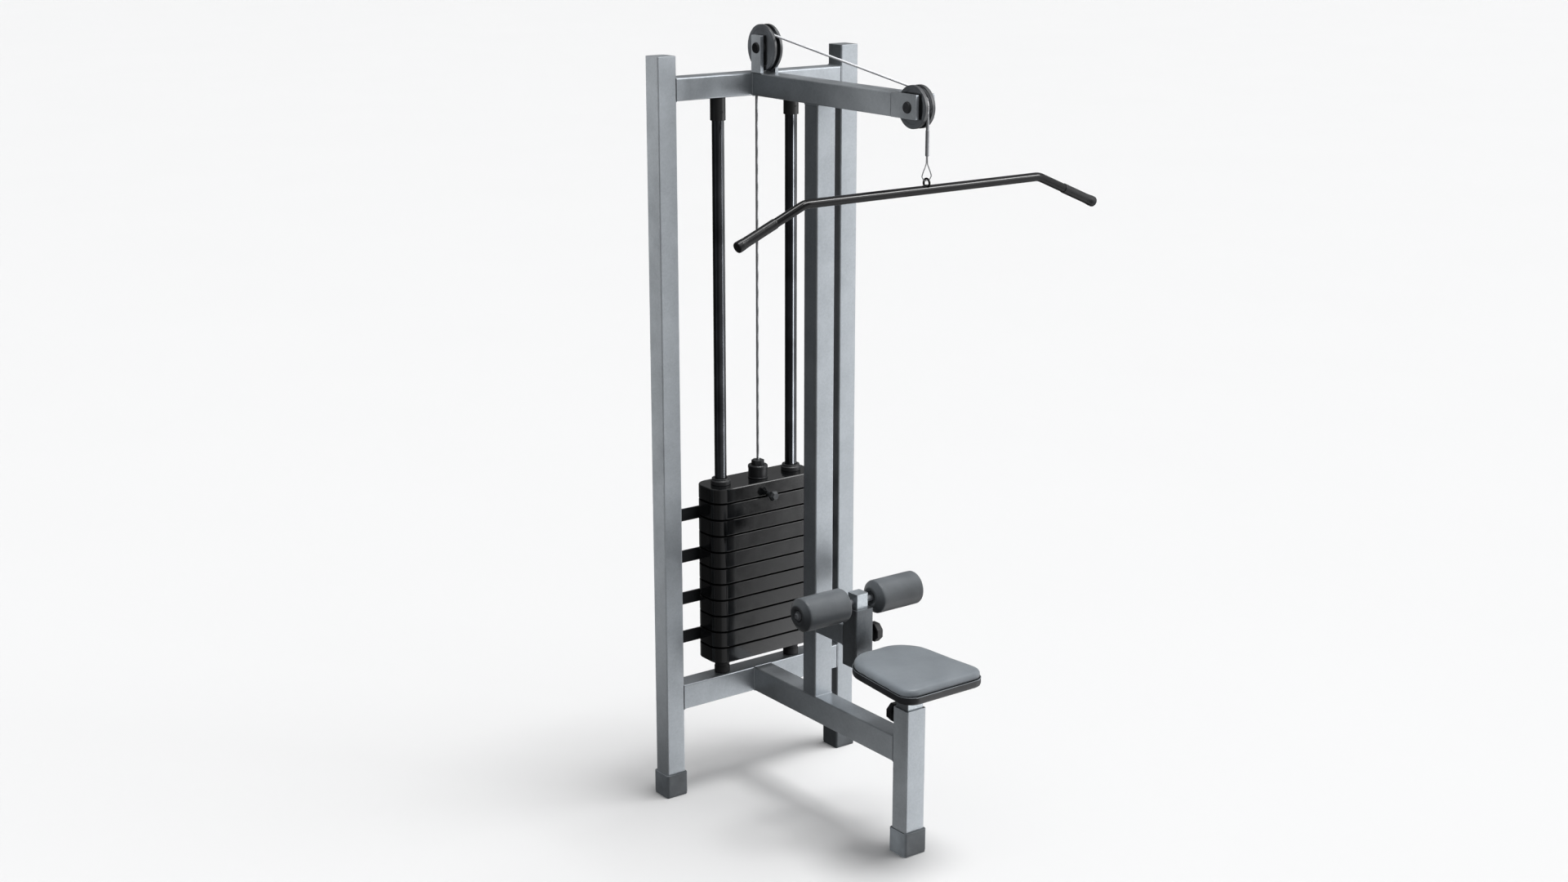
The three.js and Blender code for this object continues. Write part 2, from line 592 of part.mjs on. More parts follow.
function buildThighPad() {
  const front = THIGH_Y + THIGH_SLEEVE.d / 2 + GAP;
  const back = MAST.y - MAST.d / 2 - GAP;
  add("thigh_bracket_tube", lengthTube(TUBE, front, back, BRACKET.z0, BRACKET.z1, WALL), STEEL);

  const bore = THIGH_SLEEVE.bore / 2;
  const sleeve = cut(
    prismZ(roundedRect(THIGH_SLEEVE.w, THIGH_SLEEVE.d, TUBE_EDGE, 2), THIGH_SLEEVE.z0, THIGH_SLEEVE.z1),
    block(-bore, bore, -bore, bore, THIGH_SLEEVE.z0 - 1, THIGH_SLEEVE.z1 + 1),
    rod("x", SCREW_R + GAP, 10, 40, 12).translate(0, 0, THIGH_KNOB.z),
  );
  add("thigh_sleeve", sleeve.translate(0, THIGH_Y, 0), STEEL);

  const w = THIGH_POST.w;
  const inner = w / 2 - 3;
  const post = cut(
    prismZ(roundedRect(w, w, 3, 2), THIGH_POST.z0, THIGH_POST.z1),
    block(-inner, inner, -inner, inner, THIGH_POST.z0 - 1, THIGH_POST.z1 - 3),
    rod("x", AXLE_BORE, -30, 30, 20).translate(0, 0, ROLLER.z),
  );
  add("thigh_inner_post", post.translate(0, THIGH_Y, 0), STEEL);
  add("roller_axle", rollerAxle().translate(0, THIGH_Y, ROLLER.z), BLACK_STEEL);
  const mid = (ROLLER.x0 + ROLLER.x1) / 2;
  add("roller_left", roller().translate(-mid, THIGH_Y, ROLLER.z), ROLLER_VINYL);
  add("roller_right", roller().translate(mid, THIGH_Y, ROLLER.z), ROLLER_VINYL);

  const knob = clampKnob("x", bore, THIGH_SLEEVE.w / 2 + GAP, THIGH_KNOB.x0, THIGH_KNOB.x1);
  add("thigh_knob", knob.translate(0, THIGH_Y, THIGH_KNOB.z), PLASTIC);
}

// ---- seat -----------------------------------------------------------------------------------
function seatOutline(inset) {
  const corners = [
    [-SEAT.halfFront, SEAT.front, SEAT.rFront], [SEAT.halfFront, SEAT.front, SEAT.rFront],
    [SEAT.halfBack, SEAT.back, SEAT.rBack], [-SEAT.halfBack, SEAT.back, SEAT.rBack],
  ];
  const points = [];
  corners.forEach(([x, y, r], i) => {
    const here = new THREE.Vector2(x, y);
    const before = new THREE.Vector2(...corners[(i + 3) % 4].slice(0, 2)).sub(here).normalize();
    const after = new THREE.Vector2(...corners[(i + 1) % 4].slice(0, 2)).sub(here).normalize();
    const angle = Math.acos(before.dot(after));
    const middle = before.clone().add(after).normalize().multiplyScalar(r / Math.sin(angle / 2)).add(here);
    const reach = r / Math.tan(angle / 2);
    const a = before.multiplyScalar(reach).add(here).sub(middle);
    const b = after.multiplyScalar(reach).add(here).sub(middle);
    const start = a.angle();
    const sweepAngle = (b.angle() - start + 2 * Math.PI) % (2 * Math.PI);
    for (let k = 0; k <= 5; k++) {
      const t = start + sweepAngle * k / 5;
      const reachOut = r - inset;
      points.push(new THREE.Vector2(middle.x + reachOut * Math.cos(t), middle.y + reachOut * Math.sin(t)));
    }
  });
  return new THREE.Shape(points);
}

function buildSeat() {
  const { w, d, z0 } = SEAT_POST;
  const top = SEAT_BOARD.z0 - GAP;
  const post = cut(
    prismZ(roundedRect(w, d, 3, 2), z0, top),
    block(3 - w / 2, w / 2 - 3, 3 - d / 2, d / 2 - 3, z0 - 1, top - 4),
  );
  add("seat_inner_post", post.translate(0, POST.y, 0), STEEL);

  const boardTop = SEAT_BOARD.z0 + SEAT_BOARD.thick;
  add("seat_board", prismZ(seatOutline(0), SEAT_BOARD.z0, boardTop), BOARD_LOOK);
  const bevel = CUSHION.bevel;
  const cushion = new THREE.ExtrudeGeometry(seatOutline(bevel + 1), {
    depth: CUSHION.top - boardTop - GAP - 2 * bevel,
    bevelThickness: bevel,
    bevelSize: bevel,
    bevelSegments: 2,
  });
  add("seat_cushion", cushion.translate(0, 0, boardTop + GAP + bevel), SEAT_VINYL);

  const tip = POST.y + POST_BORE.d / 2;
  const wall = POST.y + POST.d / 2 + GAP;
  const knob = clampKnob("y", tip, wall, SEAT_KNOB.y0, SEAT_KNOB.y1);
  add("seat_knob", knob.translate(0, 0, SEAT_KNOB.z), PLASTIC);
}

buildFrame();
buildSlats();
buildGuideRods();
buildStack();
buildPulleys();
buildCable();
buildBar();
buildThighPad();
buildSeat();

export default machine;
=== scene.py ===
"""Looks of the lat pulldown machine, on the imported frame. Metres, +Z up, the user sits on the -Y side."""

import json
import math

import bmesh
import bpy
import numpy as np
from mathutils import Matrix, Vector, noise


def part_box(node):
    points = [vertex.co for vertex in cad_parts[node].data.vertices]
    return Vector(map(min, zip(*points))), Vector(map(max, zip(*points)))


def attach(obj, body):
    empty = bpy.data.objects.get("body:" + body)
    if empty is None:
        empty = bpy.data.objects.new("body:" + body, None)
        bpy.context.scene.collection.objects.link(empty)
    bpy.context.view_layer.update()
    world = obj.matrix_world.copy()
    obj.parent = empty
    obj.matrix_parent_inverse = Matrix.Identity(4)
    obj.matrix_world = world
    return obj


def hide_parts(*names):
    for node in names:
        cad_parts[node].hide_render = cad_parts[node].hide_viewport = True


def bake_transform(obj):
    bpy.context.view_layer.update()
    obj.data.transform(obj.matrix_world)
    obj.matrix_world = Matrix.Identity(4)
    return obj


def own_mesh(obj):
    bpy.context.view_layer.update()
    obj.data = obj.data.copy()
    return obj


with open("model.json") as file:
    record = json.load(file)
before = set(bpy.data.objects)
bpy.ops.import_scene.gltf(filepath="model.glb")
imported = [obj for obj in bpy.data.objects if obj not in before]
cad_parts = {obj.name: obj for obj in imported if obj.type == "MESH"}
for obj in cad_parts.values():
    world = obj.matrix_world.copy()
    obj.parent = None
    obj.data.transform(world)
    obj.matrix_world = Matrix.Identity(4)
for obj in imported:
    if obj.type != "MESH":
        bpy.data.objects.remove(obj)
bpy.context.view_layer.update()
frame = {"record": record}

MM = 0.001
GAP = 0.3 * MM
SIDES = (("left", -1), ("right", 1))

# ---- camera and studio ----
CAMERA_TARGET = Vector((0.0, 0.2597, 1.0374))
CAMERA_DISTANCE = 6.123
CAMERA_AZIMUTH = -36.565
CAMERA_ELEVATION = 15.315
CAMERA_LENS = 50.0

# Brightness of the studio's walls by compass angle in degrees: 0 is +X, -90 the seat side, -180 the left.
WALLS = ((-180, 0.10), (-151, 0.14), (-137, 0.13), (-120, 0.30), (-90, 0.45), (-58, 0.80), (-56.6, 0.09),
         (-54.1, 0.09), (-52.9, 2.3), (-30, 1.85), (0, 0.80), (35, 0.30), (50, 0.14), (70, 0.14), (90, 0.16),
         (118, 0.06), (138, 0.04), (160, 0.10), (180, 0.10))
OVERHEAD = 0.25
STUDIO_SIZE = 60.0
SUN_STRENGTH = 2.05

# Area lights: azimuth and elevation in degrees, distance, width, height, power and the point that they face.
KEY_LIGHT = (40, 30, 7.0, 2.1, 3.9, 84, CAMERA_TARGET)
KEY_MISSES = ("floor", "seat_pad", "foam_left", "foam_right")
# Each strip light ends with the only pieces that it falls on.
STRIPS = {
    "side_strip": (-105, 4, 0.30, 0.10, 2.1, 10.5, (-0.34, 0.40, 1.25), ("left_post", "left_foot")),
    "seat_strip": (-100, -12, 0.40, 0.2, 0.3, 2.4, (-0.03, -0.31, 0.22),
                   ("seat_post_outer", "spine", "thigh_post_outer", "front_foot")),
    "arm_strip": (-100, -5, 0.30, 0.10, 0.10, 1.3, (-0.03, -0.25, 2.03),
                  ("arm_with_fork", "front_wheel_look", "front_bolt")),
    "wheel_strip": (-105, 5, 0.40, 0.15, 0.15, 3.0, (-0.02, 0.33, 2.12), ("rear_wheel_look", "ear_left")),
    "pad_strip": (40, 86, 0.55, 0.7, 0.12, 5.0, (0, -0.08, 0.68), ("foam_left", "foam_right")),
    "cushion_strip": (-95, 25, 0.45, 0.35, 0.15, 1.6, (-0.15, -0.34, 0.53), ("seat_pad", "seat_shell")),
    "rod_strip": (21.5, -12, 1.0, 0.22, 1.9, 22.0, (0, 0.38, 1.5), ("rod_left", "rod_right")),
    "bar_strip": (0, 53, 1.5, 2.0, 0.35, 95.0, (1.0, -0.33, 1.82),
                  ("pulldown_bar", "grip_look_left", "grip_look_right", "top_rope")),
}
REFLECTED_STRIPS = ("rod_strip", "bar_strip")


def polar(azimuth, elevation, distance, target):
    """A point seen from the target at that azimuth (0 is the seat side, -90 the left) and elevation."""
    az = math.radians(azimuth)
    el = math.radians(elevation)
    reach = distance * math.cos(el)
    return target + Vector((reach * math.sin(az), -reach * math.cos(az), distance * math.sin(el)))


def aim(obj, location, target):
    obj.location = location
    obj.rotation_euler = (target - location).to_track_quat("-Z", "Y").to_euler()


def link(obj):
    bpy.context.scene.collection.objects.link(obj)
    return obj


def make_camera():
    data = bpy.data.cameras.new("camera")
    data.lens = CAMERA_LENS
    data.sensor_width = 36.0
    data.clip_end = 200.0
    camera = link(bpy.data.objects.new("camera", data))
    at = polar(CAMERA_AZIMUTH, CAMERA_ELEVATION, CAMERA_DISTANCE, CAMERA_TARGET)
    aim(camera, at, CAMERA_TARGET)
    bpy.context.scene.camera = camera


def area_light(name, azimuth, elevation, distance, width, height, power, target):
    data = bpy.data.lights.new(name, "AREA")
    data.shape = "RECTANGLE"
    data.size = width
    data.size_y = height
    data.energy = power
    light = link(bpy.data.objects.new(name, data))
    light.visible_camera = False
    aim(light, polar(azimuth, elevation, distance, Vector(target)), Vector(target))
    return light


def make_lights():
    area_light("key_light", *KEY_LIGHT)
    for name, (*placing, _) in STRIPS.items():
        area_light(name, *placing).visible_glossy = name in REFLECTED_STRIPS
    sun = bpy.data.lights.new("overhead_light", "SUN")
    sun.energy = SUN_STRENGTH
    sun.angle = math.radians(24)
    overhead = link(bpy.data.objects.new("overhead_light", sun))
    aim(overhead, Vector((0.9, -0.7, 6.0)), Vector((0, 0, 0)))


def confine_lights():
    """Each strip light falls on its own pieces, and the key light misses the floor and the padding."""
    missed = bpy.data.collections.new("key_light_misses")
    for name in KEY_MISSES:
        missed.objects.link(bpy.data.objects[name])
    for member in missed.collection_objects:
        member.light_linking.link_state = "EXCLUDE"
    bpy.data.objects["key_light"].light_linking.receiver_collection = missed
    for light_name, (*_, names) in STRIPS.items():
        pieces = bpy.data.collections.new(f"{light_name}_pieces")
        for name in names:
            pieces.objects.link(bpy.data.objects[name])
        bpy.data.objects[light_name].light_linking.receiver_collection = pieces


# ---- node trees ----
class Nodes:
    """A small helper round one node tree. An input is a number or colour to set, or an output to link."""

    def __init__(self, tree, coords):
        self.tree = tree
        self.coords = self.node("ShaderNodeTexCoord").outputs[coords]

    def feed(self, value, socket):
        if isinstance(value, bpy.types.NodeSocket):
            self.tree.links.new(value, socket)
        else:
            socket.default_value = value

    def node(self, kind, inputs=None, **settings):
        made = self.tree.nodes.new(kind)
        for key, value in settings.items():
            setattr(made, key, value)
        for key, value in (inputs or {}).items():
            self.feed(value, made.inputs[key])
        return made

    def noise(self, scale, detail=2.0, rough=0.5):
        inputs = {"Scale": scale, "Detail": detail, "Roughness": rough, "Vector": self.coords}
        return self.node("ShaderNodeTexNoise", inputs).outputs["Fac"]

    def cells(self, scale, output, feature):
        inputs = {"Scale": scale, "Vector": self.coords}
        return self.node("ShaderNodeTexVoronoi", inputs, feature=feature).outputs[output]

    def math(self, operation, *values):
        return self.node("ShaderNodeMath", dict(enumerate(values)), operation=operation).outputs[0]

    def remap(self, value, low, high, from_low=0.0, from_high=1.0):
        inputs = {"Value": value, "From Min": from_low, "From Max": from_high, "To Min": low, "To Max": high}
        return self.node("ShaderNodeMapRange", inputs).outputs["Result"]


def make_sky():
    """A round studio: bright panels at the front right and right, dark cloth at the back left."""
    world = bpy.data.worlds.new("studio")
    bpy.context.scene.world = world
    world.use_nodes = True
    sky = Nodes(world.node_tree, "Generated")
    split = sky.node("ShaderNodeSeparateXYZ", {0: sky.coords})
    angle = sky.math("ARCTAN2", split.outputs["Y"], split.outputs["X"])
    clutter = sky.noise(22.0, 1.0)
    ragged = sky.math("MULTIPLY_ADD", clutter, 0.012, 0.5 - 0.006)
    turn = sky.math("ADD", sky.math("MULTIPLY", angle, 1 / math.tau), ragged)
    ramp = sky.node("ShaderNodeValToRGB", {"Fac": turn})
    stops = ramp.color_ramp.elements
    for degrees, level in WALLS[1:-1]:
        stops.new((degrees + 180) / 360).color = (level, level, level, 1)
    for stop, level in ((stops[0], WALLS[0][1]), (stops[-1], WALLS[-1][1])):
        stop.color = (level, level, level, 1)
    walls = sky.math("MULTIPLY", ramp.outputs["Color"], sky.remap(clutter, 0.62, 1.34, 0.44, 0.56))
    up = sky.remap(split.outputs["Z"], 0.0, OVERHEAD, 0.1, 0.9)
    background = world.node_tree.nodes["Background"]
    background.inputs["Color"].default_value = (0.985, 0.99, 1.0, 1)
    sky.feed(sky.math("ADD", walls, up), background.inputs["Strength"])


def make_backdrop():
    """A pale dome that only the camera sees: it hides the studio's panels above the floor's edge."""
    bm = bmesh.new()
    bmesh.ops.create_uvsphere(bm, u_segments=48, v_segments=24, radius=STUDIO_SIZE)
    mesh = bpy.data.meshes.new("backdrop")
    bm.to_mesh(mesh)
    bm.free()
    dome = link(bpy.data.objects.new("backdrop", mesh))
    f = Finish("studio_backdrop").constant(roughness=1.0, specular_ior_level=0.0, emission_strength=1.0)
    f.shader.inputs["Emission Color"].default_value = (0.93, 0.93, 0.93, 1)
    mesh.materials.append(f.colour(f.noise(0.8), (0.0, 0.0, 0.0), (0.002, 0.002, 0.002)).material)
    for ray in ("diffuse", "glossy", "transmission", "volume_scatter", "shadow"):
        setattr(dome, f"visible_{ray}", False)


def make_floor():
    mesh = bpy.data.meshes.new("floor")
    size = STUDIO_SIZE
    corners = [(-size, -size, 0), (size, -size, 0), (size, size, 0), (-size, size, 0)]
    mesh.from_pydata(corners, [], [(0, 1, 2, 3)])
    floor = link(bpy.data.objects.new("floor", mesh))
    f = Finish("studio_floor").constant(roughness=0.75, specular_ior_level=0.2)
    mesh.materials.append(f.colour(f.noise(0.8), (0.765, 0.765, 0.765), (0.777, 0.777, 0.777)).material)
    floor.visible_glossy = False
    floor.visible_diffuse = False


def make_studio():
    bpy.context.scene.view_settings.view_transform = "Standard"
    make_sky()
    make_lights()
    make_floor()
    make_backdrop()
    make_camera()


# ---- materials ----
class Finish(Nodes):
    """One node material: everything that it wires ends in the Principled shader."""

    def __init__(self, name):
        self.material = bpy.data.materials.new(name)
        self.material.use_nodes = True
        self.shader = self.material.node_tree.nodes["Principled BSDF"]
        super().__init__(self.material.node_tree, "Object")

    def constant(self, **values):
        for label, value in values.items():
            self.shader.inputs[label.replace("_", " ").title().replace("Ior", "IOR")].default_value = value
        return self

    def colour(self, factor, low, high):
        """Base colour between low and high, by a 0 to 1 factor."""
        ramp = self.node("ShaderNodeValToRGB", {"Fac": factor})
        ramp.color_ramp.elements[0].color = (*low, 1)
        ramp.color_ramp.elements[1].color = (*high, 1)
        self.feed(ramp.outputs["Color"], self.shader.inputs["Base Color"])
        return self

    def roughness(self, source):
        self.feed(source, self.shader.inputs["Roughness"])
        return self

    def bump(self, height, strength, distance):
        made = self.node("ShaderNodeBump", {"Strength": strength, "Distance": distance, "Height": height})
        self.feed(made.outputs["Normal"], self.shader.inputs["Normal"])
        return self


def zinc_steel(name, dark, light, metallic=0.85, rough=(0.28, 0.42)):
    """Hot-dip galvanised tube: cloudy patches, small spangle cells and a fine grain."""
    f = Finish(name).constant(metallic=metallic, specular_ior_level=0.5)
    clouds = f.noise(9.0, 4.0, 0.6)
    spangle = f.node("ShaderNodeRGBToBW", {"Color": f.cells(210.0, "Color", "F1")}).outputs[0]
    grain = f.noise(900.0, 3.0, 0.6)
    mixed = f.math("ADD", f.math("MULTIPLY", clouds, 0.55), f.math("MULTIPLY", spangle, 0.12))
    mixed = f.math("ADD", mixed, f.math("MULTIPLY", grain, 0.26))
    f.colour(f.remap(mixed, 0, 1, 0.3, 0.6), dark, light)
    f.roughness(f.remap(f.math("ADD", clouds, f.math("MULTIPLY", grain, 0.3)), *rough, 0.4, 0.9))
    return f.bump(f.math("ADD", grain, f.math("MULTIPLY", spangle, 0.5)), 0.10, 0.0004).material


def coated(name, base, rough, metallic=0.0, grain=500.0, bump=0.05, vary=0.35, specular=0.5):
    """Paint, powder coat or moulding: slight colour and gloss drift and a fine orange peel."""
    f = Finish(name).constant(metallic=metallic, specular_ior_level=specular)
    low = tuple(c * (1 - vary) for c in base)
    high = tuple(c * (1 + vary) for c in base)
    f.colour(f.remap(f.noise(14.0, 3.0), 0, 1, 0.3, 0.7), low, high)
    f.roughness(f.remap(f.noise(60.0, 3.0), rough * 0.85, rough * 1.15, 0.3, 0.7))
    return f.bump(f.noise(grain, 2.0), bump, 0.0005).material


def cast_enamel(name):
    """Weight plates: cast iron under glossy black enamel, with a faint casting texture and dusty drift."""
    f = Finish(name).constant(metallic=0.0, specular_ior_level=0.72)
    drift = f.remap(f.noise(6.0, 4.0, 0.6), 0, 1, 0.3, 0.7)
    f.colour(drift, (0.0022, 0.0024, 0.0027), (0.006, 0.0064, 0.007))
    f.roughness(f.remap(f.noise(26.0, 5.0, 0.6), 0.07, 0.13, 0.3, 0.7))
    return f.bump(f.noise(420.0, 3.0), 0.06, 0.0004).material


def vinyl(name, dark, light, rough, grain=620.0):
    """Upholstery vinyl: pebbled grain, soft sheen, slight colour drift."""
    f = Finish(name).constant(metallic=0.0, specular_ior_level=0.45, sheen_weight=0.12, sheen_roughness=0.5)
    pebble = f.cells(grain, "Distance", "SMOOTH_F1")
    f.colour(f.remap(f.noise(11.0, 4.0, 0.55), 0, 1, 0.32, 0.68), dark, light)
    f.roughness(f.remap(pebble, rough * 0.85, rough * 1.2, 0.0, 0.6))
    height = f.math("ADD", pebble, f.math("MULTIPLY", f.noise(160.0, 3.0), 0.35))
    return f.bump(height, 0.28, 0.0006).material


def bright_wire(name, base, rough):
    f = Finish(name).constant(metallic=1.0)
    f.colour(f.noise(90.0, 3.0), tuple(c * 0.55 for c in base), base)
    f.roughness(f.remap(f.noise(300.0), rough * 0.8, rough * 1.3))
    return f.material


def make_finishes():
    return {
        "frame_steel": zinc_steel("frame_zinc", (0.315, 0.338, 0.36), (0.43, 0.46, 0.487), metallic=0.75),
        "inner_tube_steel": zinc_steel("inner_zinc", (0.36, 0.395, 0.42), (0.58, 0.62, 0.65),
                                       rough=(0.26, 0.4)),
        # Painted shade: a darker copy of the frame's zinc for the thigh sleeve, standing in for the shade
        # that falls on it.
        "shaded_steel": zinc_steel("shaded_zinc", (0.085, 0.091, 0.098), (0.14, 0.151, 0.16), metallic=0.8),
        "foot_cap": coated("foot_cap_rubber", (0.085, 0.094, 0.102), 0.55, grain=380, bump=0.12),
        "slat": coated("slat_powder", (0.022, 0.0235, 0.026), 0.45, grain=700, bump=0.1),
        "guide_rod": coated("rod_black_chrome", (0.06, 0.063, 0.068), 0.1, metallic=1.0, bump=0.004),
        "collar": coated("collar_black", (0.014, 0.0145, 0.015), 0.35, grain=600),
        "bumper": coated("bumper_rubber", (0.010, 0.010, 0.011), 0.6, grain=420, bump=0.12),
        "weight_iron": cast_enamel("plate_enamel"),
        # Painted shade: near-black, non-reflective finish for the recessed steps between plates, in place of
        # the shade in the gaps.
        "seam": coated("plate_seam_shade", (0.0015, 0.0015, 0.0016), 0.8, grain=700, specular=0.05),
        "black_steel": coated("black_oxide", (0.022, 0.023, 0.025), 0.36, metallic=0.3, grain=800),
        "pin_head": coated("pin_zinc", (0.06, 0.064, 0.068), 0.34, metallic=0.5, grain=700, vary=0.2),
        "axle_cap": coated("axle_cap_nylon", (0.19, 0.2, 0.215), 0.4, grain=600, vary=0.2),
        "bush": coated("bush_nylon", (0.026, 0.027, 0.029), 0.4, grain=500),
        "pulley": coated("pulley_nylon", (0.040, 0.043, 0.047), 0.34, grain=450, bump=0.07, specular=0.7),
        "knob": coated("knob_plastic", (0.008, 0.008, 0.009), 0.35, grain=420, bump=0.08),
        "cable": bright_wire("cable_wire", (0.55, 0.56, 0.57), 0.3),
        "coated_cable": coated("cable_sleeve_nylon", (0.36, 0.37, 0.385), 0.28, metallic=0.3, grain=900,
                               vary=0.12),
        # Painted highlight: a pale copy of the cable's colour for its upper run, standing in for the
        # highlight along it.
        "highlit_cable": coated("cable_painted_highlight", (0.74, 0.75, 0.77), 0.32, metallic=0.15, grain=900, vary=0.06),
        "bar": coated("bar_gloss", (0.002, 0.002, 0.0022), 0.13, bump=0.004, specular=0.15),
        "grip": coated("grip_rubber", (0.005, 0.0052, 0.0056), 0.26, grain=500, bump=0.1, specular=0.2),
        "roller": vinyl("roller_vinyl", (0.037, 0.042, 0.047), (0.06, 0.067, 0.073), 0.38, 420.0),
        "seat_board": coated("seat_shell", (0.012, 0.0125, 0.014), 0.35, grain=420, bump=0.1),
        "piping": coated("piping_vinyl", (0.16, 0.175, 0.19), 0.38, grain=900, bump=0.08),
        "cushion": vinyl("seat_vinyl", (0.155, 0.175, 0.193), (0.19, 0.212, 0.232), 0.40),
    }


# Materials by finish name, filled in by build().
FINISH = {}

# ---- frame look-ups ----
RECORD = frame["record"]
BODY = {node: body for body, nodes in RECORD["behaviour"]["bodies"].items() for node in nodes}
SLOT = {entry["node"]: entry["material_slot"] for entry in RECORD["subparts"]}

# Edges sharper than this many degrees stay sharp.
EDGE_ANGLE = 38
PLATE_ANGLE = 14
SOFT_ANGLE = 60


def span(node):
    """The lowest corner, highest corner and centre of a node at rest."""
    low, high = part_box(node)
    return low, high, (low + high) / 2


def middle(node):
    return span(node)[2]


def section(node, axis):
    """Section centre and size, and the two ends, of a straight node."""
    low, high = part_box(node)
    u, v, s = {"z": (0, 1, 2), "y": (0, 2, 1), "x": (1, 2, 0)}[axis]
    centre = ((low[u] + high[u]) / 2, (low[v] + high[v]) / 2)
    size = (high[u] - low[u], high[v] - low[v])
    return centre, size, (low[s], high[s])


def dress(obj, finish, smooth_angle=EDGE_ANGLE):
    """Material and smooth shading for a new piece."""
    mesh = obj.data
    mesh.materials.clear()
    mesh.materials.append(FINISH[finish])
    mesh.polygons.foreach_set("use_smooth", [True] * len(mesh.polygons))
    mesh.set_sharp_from_angle(angle=math.radians(smooth_angle))
    if smooth_angle < SOFT_ANGLE:
        obj.modifiers.new("even_shading", "WEIGHTED_NORMAL").keep_sharp = True


def goes_with(obj, node, finish=None, smooth_angle=EDGE_ANGLE):
    """An added detail that moves with a node's body."""
    dress(obj, finish or SLOT[node], smooth_angle)
    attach(obj, BODY[node])
    return obj


def stands_for(obj, node, finish=None, smooth_angle=EDGE_ANGLE):
    """A piece shown in place of a node."""
    goes_with(obj, node, finish, smooth_angle)
    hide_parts(node)
    return obj


# ---- mesh building ----
def place(u, v, s, axis):
    """A section point (u, v) at s along the axis: z uses (x, y), y uses (x, z), x uses (y, z)."""
    return {"z": (u, v, s), "y": (u, s, v), "x": (s, u, v)}[axis]


def mm(*points, start=0.0):
    """Profile points given in millimetres, as metres: the second value is counted from start."""
    return [(r * MM, start + s * MM) for r, s in points]


def made(name, bm):
    bmesh.ops.recalc_face_normals(bm, faces=bm.faces)
    mesh = bpy.data.meshes.new(name)
    bm.to_mesh(mesh)
    bm.free()
    return link(bpy.data.objects.new(name, mesh))


def merge(name, *parts):
    """One object from several bmeshes."""
    whole = bmesh.new()
    for part in parts:
        mesh = bpy.data.meshes.new("part")
        part.to_mesh(mesh)
        part.free()
        whole.from_mesh(mesh)
        bpy.data.meshes.remove(mesh)
    return made(name, whole)


def apply_modifiers(obj):
    graph = bpy.context.evaluated_depsgraph_get()
    mesh = bpy.data.meshes.new_from_object(obj.evaluated_get(graph))
    obj.modifiers.clear()
    old = obj.data
    obj.data = mesh
    bpy.data.meshes.remove(old)


def carve(obj, cutter):
    """Boolean cut, applied to the mesh."""
    modifier = obj.modifiers.new("cut", "BOOLEAN")
    modifier.operation = "DIFFERENCE"
    modifier.solver = "EXACT"
    modifier.object = cutter
    apply_modifiers(obj)
    bpy.data.objects.remove(cutter)
    return obj


def rounded_rect(width, height, radius, cx=0.0, cy=0.0, steps=4):
    points = []
    for sx, sy, quarter in ((1, 1, 0), (-1, 1, 1), (-1, -1, 2), (1, -1, 3)):
        for i in range(steps + 1):
            t = (quarter + i / steps) * math.pi / 2
            x = cx + sx * (width / 2 - radius) + radius * math.cos(t)
            y = cy + sy * (height / 2 - radius) + radius * math.sin(t)
            points.append((x, y))
    return points


def circle(radius, sides, cx=0.0, cy=0.0, turn=0.5):
    return [(cx + radius * math.cos((i + turn) / sides * math.tau),
             cy + radius * math.sin((i + turn) / sides * math.tau)) for i in range(sides)]


def skin(bm, rings):
    """A band of quads between each ring of vertices and the next."""
    for a, b in zip(rings, rings[1:]):
        for i in range(len(a)):
            bm.faces.new((a[i - 1], a[i], b[i], b[i - 1]))


def loft_bm(rings, holes=(), bm=None):
    """A closed solid through rings of points. Holes run straight up through flat rings."""
    bm = bm or bmesh.new()
    ends = (0, -1)
    stacks = [rings, *([[(x, y, rings[end][0][2]) for x, y in hole] for end in ends] for hole in holes)]
    stacks = [[[bm.verts.new(point) for point in ring] for ring in stack] for stack in stacks]
    for stack in stacks:
        skin(bm, stack)
    for end in ends:
        loops = [stack[end] for stack in stacks]
        if holes:
            edges = [bm.edges.get((loop[i - 1], loop[i])) for loop in loops for i in range(len(loop))]
            bmesh.ops.triangle_fill(bm, use_beauty=True, use_dissolve=False, edges=edges)
        else:
            bm.faces.new(loops[0])
    return bm


def prism_bm(rings, axis, low, high, bevel=0.6 * MM, segments=2):
    """A straight solid: the first ring is its outline and the others are holes through it."""
    bm = bmesh.new()
    edges = []
    for ring in rings:
        verts = [bm.verts.new((u, v, low)) for u, v in ring]
        edges += [bm.edges.new((verts[i - 1], verts[i])) for i in range(len(verts))]
    if len(rings) == 1:
        bm.faces.new(verts)
    else:
        bmesh.ops.triangle_fill(bm, use_beauty=True, use_dissolve=False, edges=edges)
    raised = bmesh.ops.extrude_face_region(bm, geom=list(bm.faces))["geom"]
    top = [v for v in raised if isinstance(v, bmesh.types.BMVert)]
    bmesh.ops.translate(bm, verts=top, vec=(0, 0, high - low))
    bmesh.ops.recalc_face_normals(bm, faces=bm.faces)
    if bevel:
        rim = [e for e in bm.edges if e.is_manifold and e.calc_face_angle(0) > 1.0
               and abs(e.verts[0].co.z - e.verts[1].co.z) < 1e-7]
        bmesh.ops.bevel(bm, geom=rim, offset=bevel, segments=segments, profile=0.5, affect="EDGES",
                        clamp_overlap=True)
    for v in bm.verts:
        v.co = place(*v.co, axis)
    bmesh.ops.recalc_face_normals(bm, faces=bm.faces)
    return bm


def prism(name, rings, axis, low, high, bevel=0.6 * MM, segments=2):
    return made(name, prism_bm(rings, axis, low, high, bevel, segments))


FLAT_ANGLE = math.radians(172)


